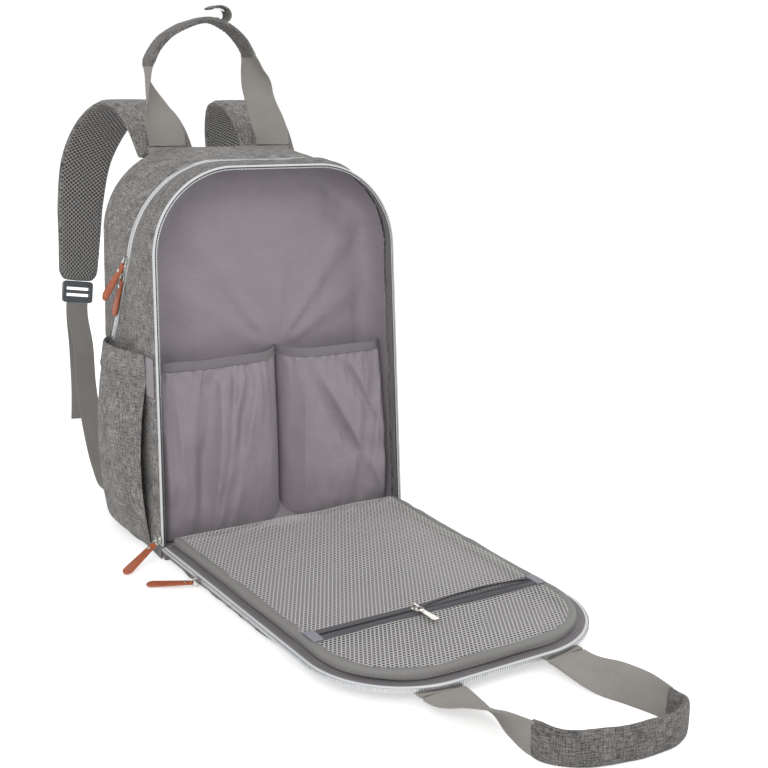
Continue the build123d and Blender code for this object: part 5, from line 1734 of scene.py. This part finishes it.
# ---------- colours
def linear(red, green, blue):
    """Colour for a shader from its everyday 0 to 255 values."""
    values = [c / 255 for c in (red, green, blue)]
    return tuple(c / 12.92 if c <= 0.04045 else ((c + 0.055) / 1.055) ** 2.4 for c in values)


def make_finishes():
    """Every finish of the bag."""
    light, dark = linear(161, 158, 155), linear(80, 78, 77)
    heather_finish("heather_cloth", light, dark, 0.0005)
    # finer copy of the heather, darkened to 0.72 as painted shade for the grips, keeper, anchors and yoke
    heather_finish("heather_cloth_fine", shade(light, 0.72), shade(dark, 0.72), 0.0004)
    ripstop_finish("lining_cloth", linear(140, 133, 139), 0.0026, 0.42)
    # darker copy of the lining: painted shade for the flap's lining under the net
    ripstop_finish("lining_cloth_deep", linear(116, 112, 116), 0.0026, 0.5)
    air_mesh_finish("air_mesh_cloth", linear(150, 148, 146), 0.0028)
    ribbed_finish("net_cloth", linear(226, 224, 222), 0.0007, 0.7, 0.1)
    ribbed_finish("binding_cloth", linear(130, 127, 130), 0.0009, 0.75, 0.16)
    ribbed_finish("binding_cloth_light", linear(138, 137, 135), 0.0009, 0.7, 0.14)
    ribbed_finish("tab_cloth", linear(152, 150, 160), 0.0008, 0.6, 0.12)
    ribbed_finish("elastic_band", linear(126, 120, 124), 0.0011, 0.75, 0.2, along=False)
    webbing_finish("webbing_cloth", linear(152, 148, 143), 0.0105, 0.0017)
    webbing_finish("webbing_cloth_narrow", linear(140, 137, 133), 0.0062, 0.0016)
    silver_finish("silver_tape", linear(216, 217, 218), 0.0008)
    ribbed_finish("dark_tape", linear(98, 96, 101), 0.0007, 0.7, 0.2)
    nickel_finish("silver_coil", linear(216, 218, 220))
    nickel_finish("nickel_plate", linear(205, 203, 198))
    plastic_finish("dark_coil", linear(70, 69, 73))
    plastic_finish("grey_plastic", linear(84, 88, 92))
    plastic_finish("board_sheet", linear(120, 120, 122))
    leather_finish("leather_tan", linear(164, 82, 44))
    thread_finish("seam_thread", linear(120, 118, 116))
    thread_finish("pale_thread", linear(168, 166, 164))
    thread_finish("dark_thread", linear(80, 79, 82))
    thread_finish("leather_thread", linear(170, 92, 56))


# ---------- settings
def length_of(name, default, description):
    """A length in metres that can be changed in the sidebar."""
    return FloatProperty(
        name=name, default=default, min=0.0, description=description, unit="LENGTH", precision=4,
    )


def share_of(name, default, description, top=1.0):
    """A plain factor that can be changed in the sidebar."""
    return FloatProperty(
        name=name, default=default, min=0.0, max=top, description=description, subtype="FACTOR",
    )


def power_of(name, default, description):
    """The power of a light that can be changed in the sidebar."""
    return FloatProperty(
        name=name, default=default, min=0, max=500, description=description, unit="POWER",
    )


def colour_of(name, default, description):
    """A colour that can be changed in the sidebar."""
    return FloatVectorProperty(
        name=name, default=default, min=0, max=1, description=description, subtype="COLOR",
    )


class ShellSettings(bpy.types.PropertyGroup):
    """Sizes of the outer cloth."""

    wall: length_of("Wall", 0.0022, "Thickness of the padded outer cloth")
    rim_tape: length_of("Rim Tape", 0.0042, "Rim to the edge of the outer cloth")
    wall_bow: length_of("Wall Bow", 0.0022, "How far the wall stands out between its zips")
    crumple: length_of("Crumple", 0.0011, "Height of the soft unevenness of the walls")
    cushion: length_of("Cushion", 0.01, "Thickness of the back cushion")


class LiningSettings(bpy.types.PropertyGroup):
    """Sizes of the lining and its pockets."""

    lining_round: length_of("Lining Round", 0.026, "How far the lining curves in from the wall")
    lining_depth: length_of("Lining Depth", 0.0478, "Rim to the flat of the lining")
    lining_slack: length_of("Lining Slack", 0.004, "Height of the folds above the pockets")
    pocket_fullness: length_of("Pocket Fullness", 0.01, "How far a full pocket stands forward")
    pucker: length_of("Pucker", 0.0024, "Height of the gathers under the elastic")


class SideSettings(bpy.types.PropertyGroup):
    """Sizes of the side pockets."""

    setback: length_of("Setback", 0.027, "Rim to the pocket's front edge")
    slit: length_of("Slit", 0.0095, "How far the front edge stands off the wall")


class FlapSettings(bpy.types.PropertyGroup):
    """Sizes of the flap and its mesh pocket."""

    wall: length_of("Wall", 0.0022, "Thickness of the front pocket's wall")
    pocket_bulge: length_of("Pocket Bulge", 0.0075, "How far the front pocket's wall stands out")
    net_pitch: length_of("Net Pitch", 0.0041, "Distance between the holes of the net")
    hole_share: share_of("Hole Share", 0.76, "Width of a hole over the width of its cell")
    swell: length_of("Swell", 0.0045, "How far the net stands up in its middle")
    unevenness: length_of("Unevenness", 0.0008, "Soft unevenness of the net")
    binding_wave: length_of("Binding Wave", 0.0009, "Waviness of the rolled binding")
    zip_gape: length_of("Zip Gape", 0.0045, "How far each side of the open zip stands back")


class HandleSettings(bpy.types.PropertyGroup):
    """Sizes of the carrying handles."""

    web_thickness: length_of("Webbing", 0.002, "Thickness of the handle webbing")
    grip_thickness: length_of("Grip", 0.0056, "Thickness of the wrapped grip")
    grip_width: length_of("Grip Width", 0.03, "Width of the wrapped grip")
    rear_twist: share_of("Rear Twist", 0.5, "Share of a rear leg that lies flat before it turns")
    front_twist: share_of("Front Twist", 0.05, "Share of a front leg that lies flat before it turns")
    cup: FloatProperty(
        name="Cup", default=1.5, min=0, max=3, description="How far the webbing cups where it turns",
        subtype="ANGLE",
    )
    grip_crown: share_of("Grip Crown", 0.12, "How much the grip is fuller in its middle")


class StrapSettings(bpy.types.PropertyGroup):
    """Sizes of the shoulder straps."""

    pad_thickness: length_of("Pad", 0.0088, "Thickness of the strap pad")
    pad_crown: share_of("Pad Crown", 0.1, "How much the pad is fuller in its middle")


class TrimSettings(bpy.types.PropertyGroup):
    """Sizes of small trim."""

    thread_radius: length_of("Thread Radius", 0.00026, "Radius of the sewing thread")
    pull_thickness: length_of("Pull Thickness", 0.0026, "Thickness of a leather pull")


class StageSettings(bpy.types.PropertyGroup):
    """Camera, floor and light."""

    lens: FloatProperty(
        name="Lens", default=56.5, min=10, max=300, description="Focal length in millimetres",
    )
    floor_colour: colour_of("Floor", (0.86, 0.86, 0.86), "Colour of the floor")
    floor_glow: colour_of("Floor Glow", (1.0, 1.0, 1.0), "Colour of the light that lifts the floor to white")
    floor_glow_strength: FloatProperty(
        name="Glow", default=0.5, min=0, max=5, description="How much the floor is lifted to white",
    )
    ambient: FloatProperty(name="Ambient", default=0.68, min=0, max=5, description="Light from all round")
    key_power: power_of("Front Left Light", 28.0, "Power of the light on the front left")
    fill_power: power_of("Front Right Light", 10.0, "Power of the light on the front right")
    top_power: power_of("Overhead Light", 1.5, "Power of the light overhead")
    rear_power: power_of("Rear Light", 12.0, "Power of the light behind the bag")


# ---------- operators and sidebar
class BACKPACK_OT_finishes(bpy.types.Operator):
    """Make every finish and put them on the hard pieces"""

    bl_idname = "backpack.finishes"
    bl_label = "Finishes"
    bl_options = {"REGISTER", "UNDO"}

    def execute(self, context):
        make_finishes()
        paint_nodes()
        return {"FINISHED"}


class BACKPACK_OT_outer_cloth(bpy.types.Operator):
    """Build the walls, base, back and their zips"""

    bl_idname = "backpack.outer_cloth"
    bl_label = "Outer Cloth"
    bl_options = {"REGISTER", "UNDO"}

    def execute(self, context):
        sizes = context.scene.backpack_shell
        for make in (make_front_wall, make_rear_wall, make_base, make_back):
            make(sizes)
        make_main_zip()
        make_rim()
        make_back_cushion(sizes)
        make_back_zip()
        return {"FINISHED"}


class BACKPACK_OT_lining(bpy.types.Operator):
    """Build the lining and its two gathered pockets"""

    bl_idname = "backpack.lining"
    bl_label = "Lining"
    bl_options = {"REGISTER", "UNDO"}

    def execute(self, context):
        make_lining(context.scene.backpack_lining)
        make_pockets(context.scene.backpack_lining)
        return {"FINISHED"}


class BACKPACK_OT_side_pockets(bpy.types.Operator):
    """Build the two side pockets"""

    bl_idname = "backpack.side_pockets"
    bl_label = "Side Pockets"
    bl_options = {"REGISTER", "UNDO"}

    def execute(self, context):
        make_side_pockets(context.scene.backpack_sides)
        return {"FINISHED"}


class BACKPACK_OT_flap(bpy.types.Operator):
    """Build the open flap, its mesh pocket and the pocket under it"""

    bl_idname = "backpack.flap"
    bl_label = "Flap"
    bl_options = {"REGISTER", "UNDO"}

    def execute(self, context):
        make_flap_panel()
        make_front_pocket(context.scene.backpack_flap)
        make_flap_mesh(context.scene.backpack_flap)
        return {"FINISHED"}


class BACKPACK_OT_handles(bpy.types.Operator):
    """Build the two carrying handles"""

    bl_idname = "backpack.handles"
    bl_label = "Handles"
    bl_options = {"REGISTER", "UNDO"}

    def execute(self, context):
        make_handles(context.scene.backpack_handles)
        return {"FINISHED"}


class BACKPACK_OT_straps(bpy.types.Operator):
    """Build the shoulder straps and their webbing"""

    bl_idname = "backpack.straps"
    bl_label = "Straps"
    bl_options = {"REGISTER", "UNDO"}

    def execute(self, context):
        make_straps(context.scene.backpack_straps)
        return {"FINISHED"}


class BACKPACK_OT_pulls(bpy.types.Operator):
    """Build the leather pulls"""

    bl_idname = "backpack.pulls"
    bl_label = "Pulls"
    bl_options = {"REGISTER", "UNDO"}

    def execute(self, context):
        make_pulls(context.scene.backpack_trim)
        return {"FINISHED"}


class BACKPACK_OT_stage(bpy.types.Operator):
    """Set up the camera, floor and lights"""

    bl_idname = "backpack.stage"
    bl_label = "Stage"
    bl_options = {"REGISTER", "UNDO"}

    def execute(self, context):
        make_stage(context.scene.backpack_stage)
        return {"FINISHED"}


SETTINGS = {
    "backpack_shell": ShellSettings,
    "backpack_lining": LiningSettings,
    "backpack_sides": SideSettings,
    "backpack_flap": FlapSettings,
    "backpack_handles": HandleSettings,
    "backpack_straps": StrapSettings,
    "backpack_trim": TrimSettings,
    "backpack_stage": StageSettings,
}
STEPS = (
    BACKPACK_OT_finishes,
    BACKPACK_OT_outer_cloth,
    BACKPACK_OT_lining,
    BACKPACK_OT_side_pockets,
    BACKPACK_OT_flap,
    BACKPACK_OT_handles,
    BACKPACK_OT_straps,
    BACKPACK_OT_pulls,
    BACKPACK_OT_stage,
)


class BACKPACK_PT_panel(bpy.types.Panel):
    """Sidebar panel with every building step and its sizes"""

    bl_idname = "BACKPACK_PT_panel"
    bl_label = "Backpack"
    bl_space_type = "VIEW_3D"
    bl_region_type = "UI"
    bl_category = "Backpack"

    def draw(self, context):
        """Lists the steps, then the sizes of each group."""
        for step in STEPS:
            self.layout.operator(step.bl_idname)
        for name, group in SETTINGS.items():
            box = self.layout.box()
            box.label(text=group.bl_rna.name)
            for key in group.__annotations__:
                box.prop(getattr(context.scene, name), key)


def register():
    """Registers the settings, steps and panel."""
    for group in SETTINGS.values():
        bpy.utils.register_class(group)
    for name, group in SETTINGS.items():
        setattr(bpy.types.Scene, name, PointerProperty(type=group))
    for cls in (*STEPS, BACKPACK_PT_panel):
        bpy.utils.register_class(cls)


def unregister():
    """Takes the panel, steps and settings away again."""
    for cls in (BACKPACK_PT_panel, *reversed(STEPS)):
        bpy.utils.unregister_class(cls)
    for name in SETTINGS:
        delattr(bpy.types.Scene, name)
    for group in reversed(SETTINGS.values()):
        bpy.utils.unregister_class(group)


def main():
    """Registers the add-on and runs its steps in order."""
    register()
    for step in STEPS:
        group, action = step.bl_idname.split(".")
        result = getattr(getattr(bpy.ops, group), action)()
        if result != {"FINISHED"}:
            raise RuntimeError(f"{step.bl_label} didn't finish")


if __name__ == "__main__":
    main()
